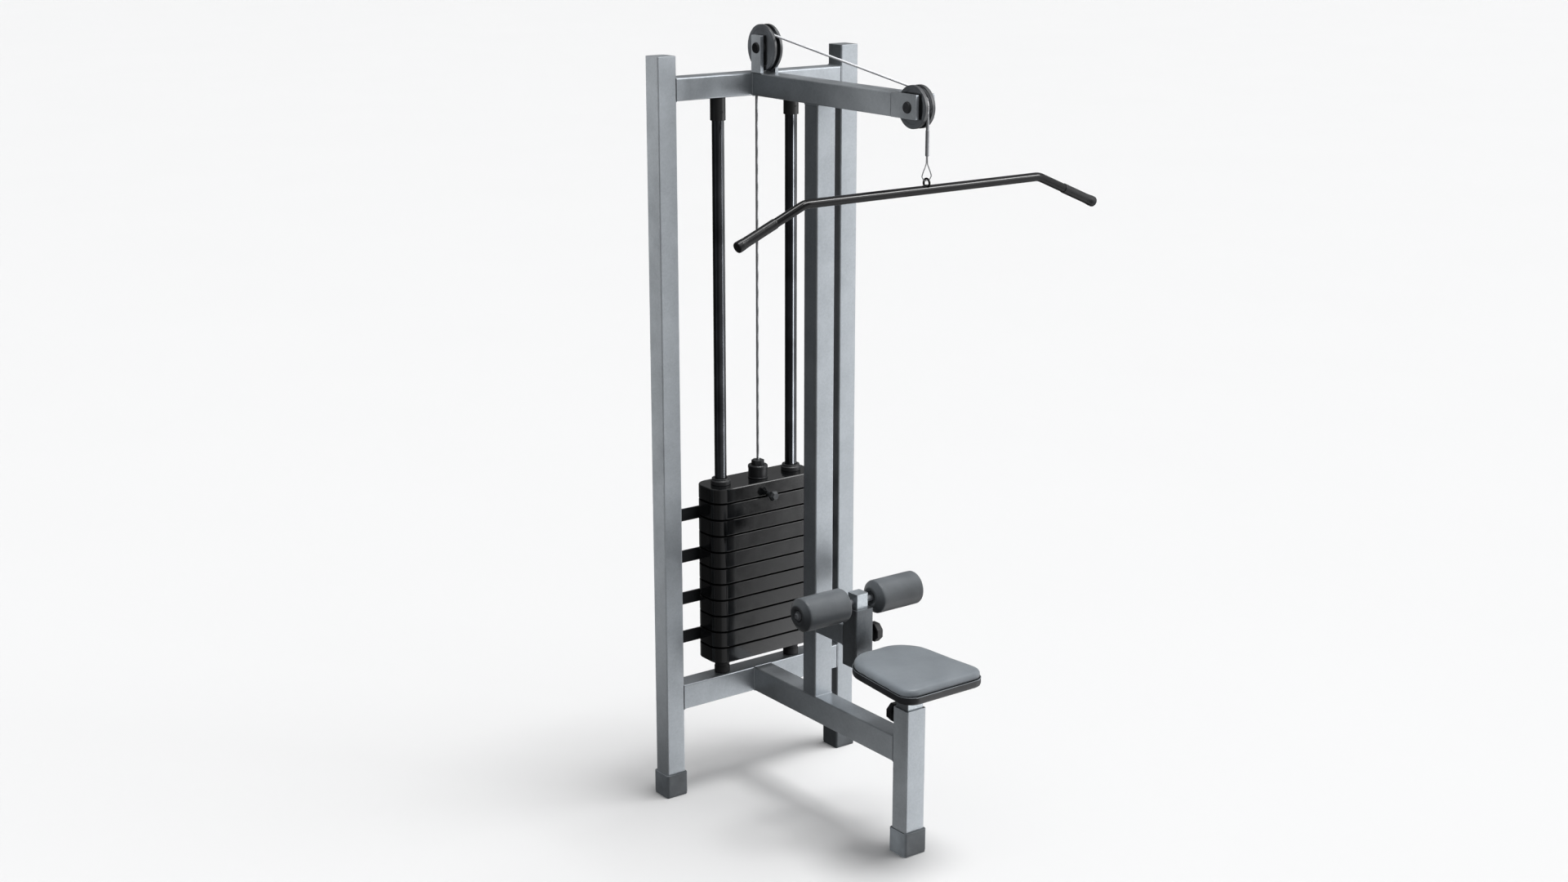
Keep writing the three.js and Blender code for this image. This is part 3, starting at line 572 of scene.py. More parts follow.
def filleted(profile, radius, steps=3):
    """The profile with each inner corner replaced by a small arc."""
    closed = profile[0] == profile[-1]
    points = [Vector(p) for p in (profile[:-1] if closed else profile)]
    out = []
    for i, here in enumerate(points):
        before = points[i - 1] - here
        after = points[(i + 1) % len(points)] - here
        angle = before.angle(after, math.pi)
        is_end = not closed and i in (0, len(points) - 1)
        if is_end or angle > FLAT_ANGLE:
            out.append(here)
            continue
        reach = min(radius / math.tan(angle / 2), 0.45 * before.length, 0.45 * after.length)
        a = here + before.normalized() * reach
        b = here + after.normalized() * reach
        for k in range(steps + 1):
            t = k / steps
            out.append(a * (1 - t) ** 2 + here * (2 * t * (1 - t)) + b * t ** 2)
    return [*out, out[0]] if closed else out


def lathe_bm(profile, axis, centre, sides=64, radius=0.5 * MM):
    """A turned solid: the profile is (radius, place along the axis), from the centre."""
    points = filleted(profile, radius) if radius else [Vector(p) for p in profile]
    bm = bmesh.new()
    rings = []
    for r, s in points[:-1] if points[0] == points[-1] else points:
        section_points = circle(r, sides, turn=0.0) if r > 1e-7 else [(0, 0)]
        rings.append([bm.verts.new(Vector(place(u, v, s, axis)) + centre) for u, v in section_points])
    if points[0] == points[-1]:
        rings.append(rings[0])
    for a, b in zip(rings, rings[1:]):
        for i in range(sides):
            j = (i + 1) % sides
            corners = dict.fromkeys((a[i % len(a)], a[j % len(a)], b[j % len(b)], b[i % len(b)]))
            if len(corners) > 2:
                bm.faces.new(list(corners))
    bmesh.ops.recalc_face_normals(bm, faces=bm.faces)
    return bm


def lathe(name, profile, axis, centre, sides=64, radius=0.5 * MM):
    return made(name, lathe_bm(profile, axis, centre, sides, radius))


def drill(axis, centre, radius, low, high, sides):
    """A plain round cutter for carve()."""
    return lathe("drill", [(0, low), (radius, low), (radius, high), (0, high)], axis, centre, sides, 0)


def ring_profile(outer, bore, low, high):
    return [(bore, low), (outer, low), (outer, high), (bore, high), (bore, low)]


def mirrored(half):
    """A profile and its mirror image on the other side of the centre."""
    return half + [(r, -s) for r, s in reversed(half)]


def along(points, step):
    """The polyline resampled at about that step, keeping its shape."""
    out = [points[0]]
    for a, b in zip(points, points[1:]):
        count = max(1, round((b - a).length / step))
        out += [a.lerp(b, i / count) for i in range(1, count + 1)]
    return out


def smooth_path(points, steps):
    """A Catmull-Rom curve through the points."""
    padded = [2 * points[0] - points[1], *points, 2 * points[-1] - points[-2]]
    out = []
    for a, b, c, d in zip(padded, padded[1:], padded[2:], padded[3:]):
        for i in range(steps):
            t = i / steps
            out.append(0.5 * (2 * b + (c - a) * t + (2 * a - 5 * b + 4 * c - d) * t ** 2
                              + (3 * b - a - 3 * c + d) * t ** 3))
    return [*out, points[-1]]


def frames_along(points):
    """Position, normal and binormal at each point, turned as little as possible."""
    tangents = []
    for i in range(len(points)):
        tangents.append((points[min(i + 1, len(points) - 1)] - points[max(i - 1, 0)]).normalized())
    normal = tangents[0].orthogonal().normalized()
    if abs(tangents[0].x) < 0.9:
        normal = (Vector((1, 0, 0)) - tangents[0] * tangents[0].x).normalized()
    result = []
    for point, tangent in zip(points, tangents):
        normal = (normal - tangent * normal.dot(tangent)).normalized()
        result.append((point, normal, tangent.cross(normal)))
    return result


def sweep_bm(points, radius, sides=16, bm=None):
    """A round rod along the points. radius is a number or one number for each point."""
    radii = radius if isinstance(radius, list) else [radius] * len(points)
    rings = [[point + normal * u + binormal * v for u, v in circle(r, sides)]
             for (point, normal, binormal), r in zip(frames_along(points), radii)]
    return loft_bm(rings, bm=bm)


def sweep(name, points, radius, sides=16):
    return made(name, sweep_bm(points, radius, sides))


ROPE_PITCH = 34 * MM
ROPE_STEP = 3.2 * MM
STRANDS = 6


def rope(name, points, radius):
    """Twisted wire rope: strands wound round a core."""
    path = frames_along(along(points, ROPE_STEP))
    strand = radius / 3
    lengths = [0.0]
    for (a, _, _), (b, _, _) in zip(path, path[1:]):
        lengths.append(lengths[-1] + (b - a).length)
    bm = sweep_bm([p for p, _, _ in path], strand, 8)
    for k in range(STRANDS):
        line = []
        for (point, normal, binormal), s in zip(path, lengths):
            t = math.tau * (k / STRANDS + s / ROPE_PITCH)
            line.append(point + (normal * math.cos(t) + binormal * math.sin(t)) * (radius - strand))
        sweep_bm(line, strand, 8, bm)
    return made(name, bm)


# ---- frame ----
TUBE_CORNER = 4.5 * MM
MIN_CORNER = 1.2 * MM
FORK_LENGTH = 97.5 * MM
FORK_PLATE = 9 * MM
AXLE_BORE = 8.3 * MM
CABLE_HOLE = 9 * MM
EAR_CORNER = 4 * MM
SLAT_THICKNESS = 6 * MM
SLAT_BOLT_INSET = 14 * MM
CAP_SOLE = 5 * MM
CAP_WALL = 5 * MM
COLLAR_BORE = 17.3 * MM


def straight_tube(name, node, axis, finish=None, wall=None, bevel=0.8 * MM):
    (cx, cy), (w, h), (low, high) = section(node, axis)
    rings = [rounded_rect(w, h, TUBE_CORNER, cx, cy)]
    if wall:
        rings.append(rounded_rect(w - 2 * wall, h - 2 * wall, max(TUBE_CORNER - wall, MIN_CORNER), cx, cy))
    return stands_for(prism(name, rings, axis, low, high, bevel), node, finish)


def make_posts():
    for side, _ in SIDES:
        straight_tube(f"{side}_post", f"{side}_upright", "z", bevel=1.4 * MM)
    straight_tube("mast", "centre_mast", "z")
    straight_tube("spine", "spine_beam", "y")
    straight_tube("low_beam", "bottom_crossbeam", "x")
    straight_tube("bracket", "thigh_bracket_tube", "y")
    straight_tube("seat_post_outer", "front_post", "z", wall=5 * MM, bevel=0.6 * MM)
    # The thigh sleeve takes the darker steel, its colour painted with shade.
    straight_tube("thigh_post_outer", "thigh_sleeve", "z", "shaded_steel", wall=9.7 * MM, bevel=0.6 * MM)


def make_top_beam():
    """The upper crossbeam, with a rubber-edged hole for the cable."""
    (cy, cz), (w, h), (low, high) = section("top_crossbeam", "x")
    beam = prism("top_beam", [rounded_rect(w, h, TUBE_CORNER, cy, cz)], "x", low, high, 0.8 * MM)
    hole_at = Vector((*middle("cable_rear_run").xy, cz))
    carve(beam, drill("z", hole_at, CABLE_HOLE, -h, h, 48))
    stands_for(beam, "top_crossbeam")
    for sign, where in ((1, "top"), (-1, "bottom")):
        lip = mm((8.9, 0), (13, 0), (12, sign * 2.2), (8.2, sign * 2.2), (7, 0), (8.9, 0))
        at = hole_at + Vector((0, 0, sign * (h / 2 + 0.05 * MM)))
        goes_with(lathe(f"cable_grommet_{where}", lip, "z", at, 32, 0.4 * MM), "top_crossbeam", "bumper")


def make_arm():
    """The top arm: a tube, and two thick side plates that carry the front pulley between them."""
    low, high, centre = span("top_arm")
    axle_y, axle_z = middle("front_pulley").yz
    width = high.x - low.x
    height = high.z - low.z
    outline = rounded_rect(width, height, TUBE_CORNER, 0, centre.z)
    parts = [prism_bm([outline], "y", low.y + FORK_LENGTH, high.y)]
    length = FORK_LENGTH + 2 * MM
    rings = [rounded_rect(length, height, 2.5 * MM, low.y + length / 2, centre.z),
             circle(AXLE_BORE, 36, axle_y, axle_z)]
    for _, sign in SIDES:
        inner, outer = sorted((sign * (width / 2 - FORK_PLATE), sign * width / 2))
        parts.append(prism_bm(rings, "x", inner, outer, 1.0 * MM))
    stands_for(merge("arm_with_fork", *parts), "top_arm")


def weld(label, node, axis, at, inset=2.5 * MM, bead=1.7 * MM):
    """A small rippled bead round a straight node's section, at a place along its axis."""
    (cx, cy), (w, h), _ = section(node, axis)
    u = w / 2
    v = h / 2
    c = inset
    loop = [(-u + c, -v), (u - c, -v), (u, -v + c), (u, v - c),
            (u - c, v), (-u + c, v), (-u, v - c), (-u, -v + c), (-u + c, -v)]
    corners = [Vector(place(cx + a, cy + b, at, axis)) for a, b in loop]
    points = along(corners, 1.3 * MM)
    radii = [bead * (0.85 + 0.22 * abs(math.sin(i * 1.05))) for i in range(len(points))]
    goes_with(sweep(f"weld_{label}", points, radii, 8), node)


def make_welds():
    """Beads where the tubes meet."""
    for node in ("top_crossbeam", "bottom_crossbeam"):
        for side, sign in SIDES:
            weld(f"{node}_{side}", node, "x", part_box(node)[1].x * sign)
    for node, ends in (("top_arm", ("high",)), ("spine_beam", ("high", "low")),
                       ("thigh_bracket_tube", ("low", "high"))):
        for end in ends:
            weld(f"{node}_{end}", node, "y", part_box(node)[end == "high"].y)
    for i, end in enumerate(("foot", "head")):
        weld(f"mast_{end}", "centre_mast", "z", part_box("centre_mast")[i].z)
    for side, _ in SIDES:
        node = f"rear_pulley_ear_{side}"
        weld(f"ear_{side}", node, "z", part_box(node)[0].z, 1.5 * MM, 1.4 * MM)


def make_feet():
    """Moulded caps: a cup with a rolled lip and a rounded sole."""
    for side in ("left", "right", "front"):
        node = f"{side}_foot_cap"
        (cx, cy), (w, d), (low, high) = section(node, "z")
        sole = prism_bm([rounded_rect(w - 1.6 * MM, d - 1.6 * MM, 7 * MM, cx, cy, 6)], "z",
                        low, low + CAP_SOLE, 1.5 * MM, 3)
        rings = [rounded_rect(w, d, 7.5 * MM, cx, cy, 6),
                 rounded_rect(w - 2 * CAP_WALL, d - 2 * CAP_WALL, TUBE_CORNER, cx, cy, 6)]
        wall = prism_bm(rings, "z", low + CAP_SOLE + 0.2 * MM, high, 1.8 * MM, 3)
        stands_for(merge(f"{side}_foot", sole, wall), node)


def hex_bolt_bms(axis, centre, sign, across=13 * MM, height=5 * MM):
    """A hexagon head on a thin washer, its outer end facing sign along the axis."""
    washer_top = sign * 1.2 * MM
    washer = [(0, 0), (across * 0.72, 0), (across * 0.72, washer_top), (0, washer_top)]
    head = [(0, washer_top), (across * 0.57, washer_top), (across * 0.57, sign * (height - 0.8 * MM)),
            (across * 0.50, sign * height), (0, sign * height)]
    return [lathe_bm(washer, axis, centre, 28, 0.2 * MM), lathe_bm(head, axis, centre, 6, 0)]


def make_slats():
    """Flat bars across the back, each on two round standoffs with a bolt through them."""
    for i in range(1, 5):
        node = f"rear_slat_{i}"
        low, high, centre = span(node)
        front = high.y - SLAT_THICKNESS
        outline = rounded_rect(high.x - low.x, high.z - low.z, 3 * MM, 0, centre.z)
        parts = [prism_bm([outline], "y", front, high.y)]
        spacer_end = front + 0.1 * MM
        spacer = [(0, low.y), (9 * MM, low.y), (9 * MM, spacer_end), (0, spacer_end)]
        for _, sign in SIDES:
            x = sign * (high.x - SLAT_BOLT_INSET)
            parts.append(lathe_bm(spacer, "y", Vector((x, 0, centre.z)), 28, 0.4 * MM))
            parts += hex_bolt_bms("y", Vector((x, high.y, centre.z)), 1)
        stands_for(merge(f"slat_{i}", *parts), node)


def make_guide_rods():
    """Chromed rods, a collar at the top of each and a grooved rubber bumper at its foot."""
    for side, _ in SIDES:
        for kind, name, fillet in (("guide_rod", "rod", 1.2 * MM), ("rod_collar", "collar", 1.0 * MM),
                                   ("stack_bumper", "bumper", 2.0 * MM)):
            node = f"{kind}_{side}"
            low, high, centre = span(node)
            r = (high.x - low.x) / 2
            half = (high.z - low.z) / 2
            groove = r - 1.6 * MM
            profile = {
                "rod": [(0, -half), (r, -half), (r, half), (0, half)],
                "collar": ring_profile(r, COLLAR_BORE, -half, half),
                "bumper": [(COLLAR_BORE, -half), (r, -half), (r, -4 * MM), (groove, -2 * MM),
                           (groove, 2 * MM), (r, 4 * MM), (r, half), (COLLAR_BORE, half),
                           (COLLAR_BORE, -half)],
            }[name]
            stands_for(lathe(f"{name}_{side}", profile, "z", centre, 72, fillet), node)
        low, high, centre = span(f"rod_collar_{side}")
        screw = mm((0, 1), (3.4, 1), (3.4, -0.6), (2.6, -1.2), (1.4, -1.2), (1.2, -0.2), (0, -0.2))
        screw_at = Vector((centre.x, low.y + 0.4 * MM, centre.z - 8 * MM))
        goes_with(lathe(f"collar_screw_{side}", screw, "y", screw_at, 24, 0.15 * MM), f"rod_collar_{side}",
                  "black_steel")


# ---- weight stack ----
PLATE_CORNER = 40 * MM
ROD_BORE = 17.6 * MM
STEM_BORE = 14.5 * MM
PIN_BORE = 5.6 * MM
PIN_REACH = 88 * MM
SEAM_HEIGHT = 2.6 * MM
SEAM_DEPTH = 4.5 * MM


def plate_bm(node):
    """A weight plate with rounded ends and a shadow step at each seam."""
    low, high, centre = span(node)
    rod_x, rod_y = middle("guide_rod_right").xy
    holes = [circle(ROD_BORE, 36, -rod_x, rod_y), circle(ROD_BORE, 36, rod_x, rod_y),
             circle(STEM_BORE, 32, 0, middle("selector_stem").y)]
    foot = [(SEAM_DEPTH, 0.0), (SEAM_DEPTH, SEAM_HEIGHT), (0.7 * MM, SEAM_HEIGHT),
            (0.2 * MM, SEAM_HEIGHT + 0.2 * MM), (0.0, SEAM_HEIGHT + 0.7 * MM)]
    head = mm((3, 0), (0.9, 0.9), (0, 3)) if node == "head_plate" else foot
    levels = [(inset, low.z + s) for inset, s in foot] + [(inset, high.z - s) for inset, s in head[::-1]]
    outlines = []
    for inset, z in levels:
        outline = rounded_rect(high.x - low.x - 2 * inset, high.y - low.y - 2 * inset, PLATE_CORNER - inset,
                               centre.x, centre.y, 12)
        outlines.append([(x, y, z) for x, y in outline])
    return loft_bm(outlines, holes)


def paint_seam_shade(obj, low, high=math.inf):
    """Painted shade: the recessed steps between plates get a near-black, non-reflective finish that stands in
    for the shade in the gaps.
    """
    obj.data.materials.append(FINISH["seam"])
    for face in obj.data.polygons:
        heights = [obj.data.vertices[i].co.z for i in face.vertices]
        if min(max(heights) - low, high - min(heights)) < SEAM_HEIGHT + 0.1 * MM:
            face.material_index = 1


def make_plates():
    for i in range(1, 11):
        node = f"weight_plate_{i:02d}"
        low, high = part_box(node)
        plate = stands_for(made(f"plate_{i:02d}", plate_bm(node)), node, smooth_angle=PLATE_ANGLE)
        paint_seam_shade(plate, low.z, high.z)
    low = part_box("head_plate")[0]
    pin_at = Vector((0, low.y, middle("selector_pin").z))
    pin_hole = drill("y", pin_at, PIN_BORE, -10 * MM, PIN_REACH, 32)
    head = carve(made("top_plate", plate_bm("head_plate")), pin_hole)
    paint_seam_shade(stands_for(head, "head_plate", smooth_angle=PLATE_ANGLE), low.z)


def make_stem():
    """The selector stem, its flanged collar, a nut and the cable's ferrule."""
    low, high, centre = span("selector_stem")
    at = Vector((0, centre.y, 0))
    plate_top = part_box("head_plate")[1].z + GAP
    collar_top = high.z - 14 * MM
    shaft = mm((0, 0), (11, 0), (14, 6), start=low.z) + mm((14, 0), (0, 0), start=plate_top)
    collar = mm((0, 0), (28.5, 0), (28.5, 3), (27.4, 4), start=plate_top)
    collar += mm((27.4, -9), (28.5, -8), (28.5, -2), (26, 0), (0, 0), start=collar_top)
    ferrule = mm((4.4, -1), (8, -1), (7, 0.15), (4.4, 0.15), (4.4, -1), start=high.z)
    nut = prism_bm([circle(18.5 * MM, 6, 0, centre.y)], "z", collar_top - 0.5 * MM, high.z, 1.0 * MM, 3)
    stem = merge("stem", lathe_bm(shaft, "z", at, 48, 0.6 * MM), lathe_bm(collar, "z", at, 64, 0.7 * MM), nut,
                 lathe_bm(ferrule, "z", at, 32, 0.2 * MM))
    stands_for(stem, "selector_stem")


def make_bushes():
    """Guide bushes in the head plate, each with a narrower upper sleeve."""
    bore = 17.5 * MM
    for side, _ in SIDES:
        node = f"head_bush_{side}"
        low, high, centre = span(node)
        half = (high.z - low.z) / 2
        r = (high.x - low.x) / 2
        neck = r - 3 * MM
        profile = [(bore, -half), (r, -half), (r, half - 7 * MM), (neck, half - 4 * MM), (neck, half),
                   (19 * MM, half), (bore, half - 1.5 * MM), (bore, -half)]
        stands_for(lathe(f"bush_{side}", profile, "z", centre, 64, 0.9 * MM), node)


def make_pin():
    """The selector pin: a rounded tip, a neck and a six-sided head."""
    low, high, centre = span("selector_pin")
    at = Vector((0, 0, centre.z))
    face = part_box("head_plate")[0].y - GAP
    shaft = mm((0, 10), (5, 10), start=low.y) + mm((5, -3), (3, 0), (0, 0), start=high.y)
    neck = mm((0, 20), (11, 20), (8, 25), start=low.y) + mm((8, 0), (0, 0), start=face)
    head = mm((0, 0), (9.5, 0), (15.4, 6), (15.4, 14), (11.5, 20.5), (0, 20.5), start=low.y)
    pin = merge("pin", lathe_bm(shaft, "y", at, 32, 0.6 * MM), lathe_bm(neck, "y", at, 40, 0.6 * MM),
                lathe_bm(head, "y", at, 6, 0.5 * MM))
    stands_for(pin, "selector_pin", "pin_head", smooth_angle=20)


# ---- pulleys ----
REAR_PITCH = 40.5 * MM
FRONT_PITCH = 43.5 * MM
REAR_RIM_STEP = 5.85 * MM
FRONT_RIM_STEP = 4.6 * MM
GROOVE_MOUTH = 5.6 * MM
GROOVE_DEPTH = 4.3 * MM
WEB_STEP = 2.5 * MM


def make_ears():
    axle_y, axle_z = middle("rear_pulley_axle").yz
    for side, _ in SIDES:
        node = f"rear_pulley_ear_{side}"
        low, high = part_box(node)
        top = high.z - EAR_CORNER
        outline = [(low.y, low.z), (high.y, low.z)]
        for cy, start in ((high.y - EAR_CORNER, 0), (low.y + EAR_CORNER, 1)):
            for i in range(9):
                t = (start + i / 8) * math.pi / 2
                outline.append((cy + EAR_CORNER * math.cos(t), top + EAR_CORNER * math.sin(t)))
        rings = [outline, circle(AXLE_BORE, 36, axle_y, axle_z)]
        stands_for(prism(f"ear_{side}", rings, "x", low.x, high.x, 0.9 * MM, 3), node)


def make_pulley(name, node, pitch, rim_step):
    """A grooved wheel with a web thinner than its rim, and a seal on each side of its bearing."""
    low, high, centre = span(node)
    rim = (high.y - low.y) / 2
    boss = (high.x - low.x) / 2
    half = boss - rim_step
    profile = [(AXLE_BORE, boss), (13 * MM, boss), (16 * MM, boss - 1.5 * MM), (16 * MM, half - WEB_STEP),
               (rim - 13 * MM, half - WEB_STEP), (rim - 10 * MM, half), (rim, half), (rim, GROOVE_MOUTH),
               (pitch, 4.9 * MM), (pitch - GROOVE_DEPTH, 2.8 * MM)]
    stands_for(lathe(name, mirrored(profile) + profile[:1], "x", centre, 96, 1.1 * MM), node)
    for side, sign in SIDES:
        seal = ring_profile(12.4 * MM, 8.6 * MM, sign * (boss - 1.0 * MM), sign * (boss + 0.15 * MM))
        goes_with(lathe(f"{name}_bearing_{side}", seal, "x", centre, 48, 0.3 * MM), node, "inner_tube_steel")


def make_axle(name, node):
    """An axle bolt with a dimpled round head at each end."""
    low, high, centre = span(node)
    outer = (high.x - low.x) / 2
    inner = outer - 5 * MM
    head = (high.y - low.y) / 2
    half = mm((0, -0.6), (4.6, -0.6), (5.2, 0), start=outer)
    half += [(head - 2.2 * MM, outer), (head, inner + 1.6 * MM), (head, inner), (8 * MM, inner)]
    stands_for(lathe(name, mirrored(half), "x", centre, 56, 0.8 * MM), node)


# ---- cable and bar ----
def top_route():
    """Up the back of the rear pulley, along the upper tangent, down the front of the front pulley."""
    rear = middle("rear_pulley")
    front = middle("front_pulley")
    dy = front.y - rear.y
    dz = front.z - rear.z
    length = math.hypot(dy, dz)
    lean = (REAR_PITCH - FRONT_PITCH) / length
    across = math.sqrt(1 - lean ** 2)
    turn = math.atan2(lean * dz / length - across * dy / length, lean * dy / length + across * dz / length)
    points = [Vector((0, rear.y + REAR_PITCH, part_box("cable_rear_run")[1].z + GAP))]
    for hub, pitch, first, last in ((rear, REAR_PITCH, 0, turn), (front, FRONT_PITCH, turn, math.pi)):
        for i in range(25):
            t = first + (last - first) * i / 24
            points.append(Vector((0, hub.y + pitch * math.cos(t), hub.z + pitch * math.sin(t))))
    points.append(Vector((0, front.y - FRONT_PITCH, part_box("cable_front_run")[1].z + GAP)))
    return points


def make_cable():
    low, high, centre = span("cable_rear_run")
    ends = [Vector((*centre.xy, high.z + GAP)), Vector((*centre.xy, low.z - GAP / 2))]
    rear = stands_for(rope("rear_rope", ends, 3.9 * MM), "cable_rear_run")
    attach(rear, "frame")
    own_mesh(rear)

    # The upper run takes the pale cable colour, a painted highlight.
    stands_for(rope("top_rope", top_route(), 3.4 * MM), "cable_top_run", "highlit_cable")

    low, high, centre = span("cable_front_run")
    top = Vector((*centre.xy, high.z + GAP))
    foot = Vector((*centre.xy, low.z - GAP))
    front = sweep("front_rope", along([top, foot], 1.2 * MM), 4.1 * MM, 20)
    dress(front, "coated_cable")
    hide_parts("cable_front_run")
    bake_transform(front)


def other_half(points):
    """The points mirrored across the machine's middle, in reverse order."""
    return [Vector((-p.x, p.y, p.z)) for p in reversed(points)]


def make_cable_end():
    """The crimped sleeve and the pear-shaped wire loop below it."""
    low, high, centre = span("cable_end_loop")
    crimp_foot = high.z - 65 * MM
    profile = mm((0, 0), (3.6, 0), (4.8, 1.5), start=crimp_foot)
    profile += mm((4.8, -1), (4.1, 0), (0, 0), start=high.z)
    sleeve = lathe("cable_sleeve", profile, "z", Vector((*centre.xy, 0)), 40, 0.4 * MM)
    dress(sleeve, "coated_cable")
    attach(sleeve, "swivel")

    wire = 1.45 * MM
    bottom = low.z + 1.6 * MM
    half = (high.x - low.x) / 2 - wire
    side = mm((1.75, 5), (1.75, -12), (2.6, -20), (6.4, -29), (11.4, -39), start=crimp_foot)
    side += [(half, crimp_foot - 49 * MM), (half - 1.8 * MM, bottom + 7 * MM)]
    side += mm((8.8, 1.6), (3.4, 0), start=bottom)
    right = [Vector((x, centre.y, z)) for x, z in side]
    loop = sweep("wire_loop", smooth_path(right + other_half(right), 5), wire, 14)
    dress(loop, "cable")
    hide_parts("cable_end_loop")
    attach(loop, "swivel")


BAR_RADIUS = 11.5 * MM
BAR_LEVEL = 1821 * MM
BAR_BEND_X = 381 * MM
BAR_BEND_R = 60 * MM
BAR_END_X = 577.6 * MM
BAR_END_Z = 1737.7 * MM
EYE_RADIUS = 11.2 * MM
GRIP_START = 116 * MM


def make_bar():
    """A rod bent down at both ends, with a welded eye on top of its middle."""
    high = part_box("lat_bar")[1]
    y = middle("lat_bar").y
    end = Vector((BAR_END_X, y, BAR_END_Z))
    drop = math.atan2(BAR_LEVEL - end.z, end.x - BAR_BEND_X)
    bend_start = BAR_BEND_X - BAR_BEND_R * math.tan(drop / 2)
    half = [Vector((x, y, BAR_LEVEL)) for x in (1 * MM, 150 * MM, bend_start)]
    for i in range(1, 13):
        t = drop * i / 12
        fall = BAR_BEND_R * (1 - math.cos(t))
        half.append(Vector((bend_start + BAR_BEND_R * math.sin(t), y, BAR_LEVEL - fall)))
    half.append(end)
    eye_z = high.z - 14 * MM
    weld_z = BAR_LEVEL + 0.93 * BAR_RADIUS
    turns = [i / 40 * math.tau for i in range(41)]
    eye = [Vector((0, y + EYE_RADIUS * math.sin(t), eye_z + EYE_RADIUS * math.cos(t))) for t in turns]
    turns = [i / 24 * math.tau for i in range(25)]
    bead = [Vector((6.2 * MM * math.cos(t), y + 6.5 * MM * math.sin(t), weld_z)) for t in turns]
    rod = sweep_bm(other_half(half) + half, BAR_RADIUS, 40)
    bar = merge("pulldown_bar", rod, sweep_bm(eye, 2.8 * MM, 16), sweep_bm(bead, 1.9 * MM, 8))
    stands_for(bar, "lat_bar")
    make_grips(end, (end - Vector((BAR_BEND_X, y, BAR_LEVEL))).normalized())


def make_grips(end, direction):
    """Rubber sleeves on the sloping ends of the bar, flared and rounded at the outer end."""
    flare = [(12.9 + 1.3 * (i / 8) ** 2, 84 + 3 * i) for i in range(9)]
    profile = mm((0, 116.4), (11.6, 116.4), (11.6, 0), (12.7, 0), (12.9, 1.5), (12.9, 84), *flare,
                 (14.2, 118), (13.4, 120.6), (12.2, 122), (0, 122))
    slope = math.atan2(-direction.z, direction.x)
    start = end - direction * GRIP_START
    for side, sign in SIDES:
        grip = lathe(f"grip_look_{side}", profile, "x", Vector((0, 0, 0)), 48, 0.35 * MM)
        at = Matrix.Translation(Vector((sign * start.x, start.y, start.z)))
        angle = slope if sign > 0 else math.pi - slope
        grip.data.transform(at @ Matrix.Rotation(angle, 4, "Y"))
        stands_for(grip, f"grip_{side}")


# ---- thigh pad ----
INNER_WALL = 3 * MM


def hollow_post(name, node):
    """A square inner tube, open at its foot and closed at its top."""
    (cx, cy), (w, h), (low, high) = section(node, "z")
    outline = rounded_rect(w, h, 3 * MM, cx, cy)
    bore = rounded_rect(w - 2 * INNER_WALL, h - 2 * INNER_WALL, MIN_CORNER, cx, cy)
    roof = high - INNER_WALL
    tube = prism_bm([outline, bore], "z", low, roof, 0)
    stands_for(merge(name, tube, prism_bm([outline], "z", roof, high, 0)), node)


def roller_profile(r, half):
    """The outline of a foam roller: chamfered ends and a recess for the washer."""
    left = mm((8.3, 6.6), (17, 6.4), (19.5, 2.2), (22, 0.2), (26.5, 0.2), (29.5, 1.2), start=-half)
    left += [(r - 1.6 * MM, 13.2 * MM - half), (r - 0.3 * MM, 16 * MM - half), (r, 20 * MM - half)]
    barrel = [(r, (20 * MM - half) * (1 - i / 12)) for i in range(1, 24)]
    return left + barrel + [(radius, -s) for radius, s in reversed(left)] + left[:1]


def make_rollers():
    """Foam rollers, their cover slightly uneven."""
    for side, shift in (("left", 7), ("right", 31)):
        node = f"roller_{side}"
        low, high, centre = span(node)
        profile = roller_profile((high.y - low.y) / 2, (high.x - low.x) / 2)
        roller = lathe(f"foam_{side}", profile, "x", centre, 128, 1.2 * MM)
        for v in roller.data.vertices:
            p = v.co - centre
            out = Vector((0, p.y, p.z))
            if out.length < 20 * MM:
                continue
            n = out.normalized()
            wave = noise.noise(Vector((p.x * 22, n.y * 2.2, n.z * 2.2)) + Vector((shift, 0, 0)))
            fine = noise.noise(Vector((p.x * 70, n.y * 6, n.z * 6)) + Vector((3, 11, 5)))
            v.co -= n * (0.45 * MM * (0.5 + 0.5 * wave) + 0.18 * MM * (0.5 + 0.5 * fine))
        stands_for(roller, node, smooth_angle=SOFT_ANGLE)


def make_roller_axle():
    """The rollers' axle, with a nut and a wide washer at each end."""
    low, high, centre = span("roller_axle")
    half = (high.x - low.x) / 2
    face = half - 9.5 * MM
    r = (high.y - low.y) / 2
    profile = mm((0, -0.8), (3.2, -0.8), (3.8, 0), (6, 0), (8.6, -2.5), start=half)
    profile += [(8.6 * MM, face + 2.3 * MM), (r, face + 2.3 * MM), (r, face), (8 * MM, face)]
    stands_for(lathe("pad_axle", mirrored(profile), "x", centre, 48, 0.6 * MM), "roller_axle", "axle_cap")


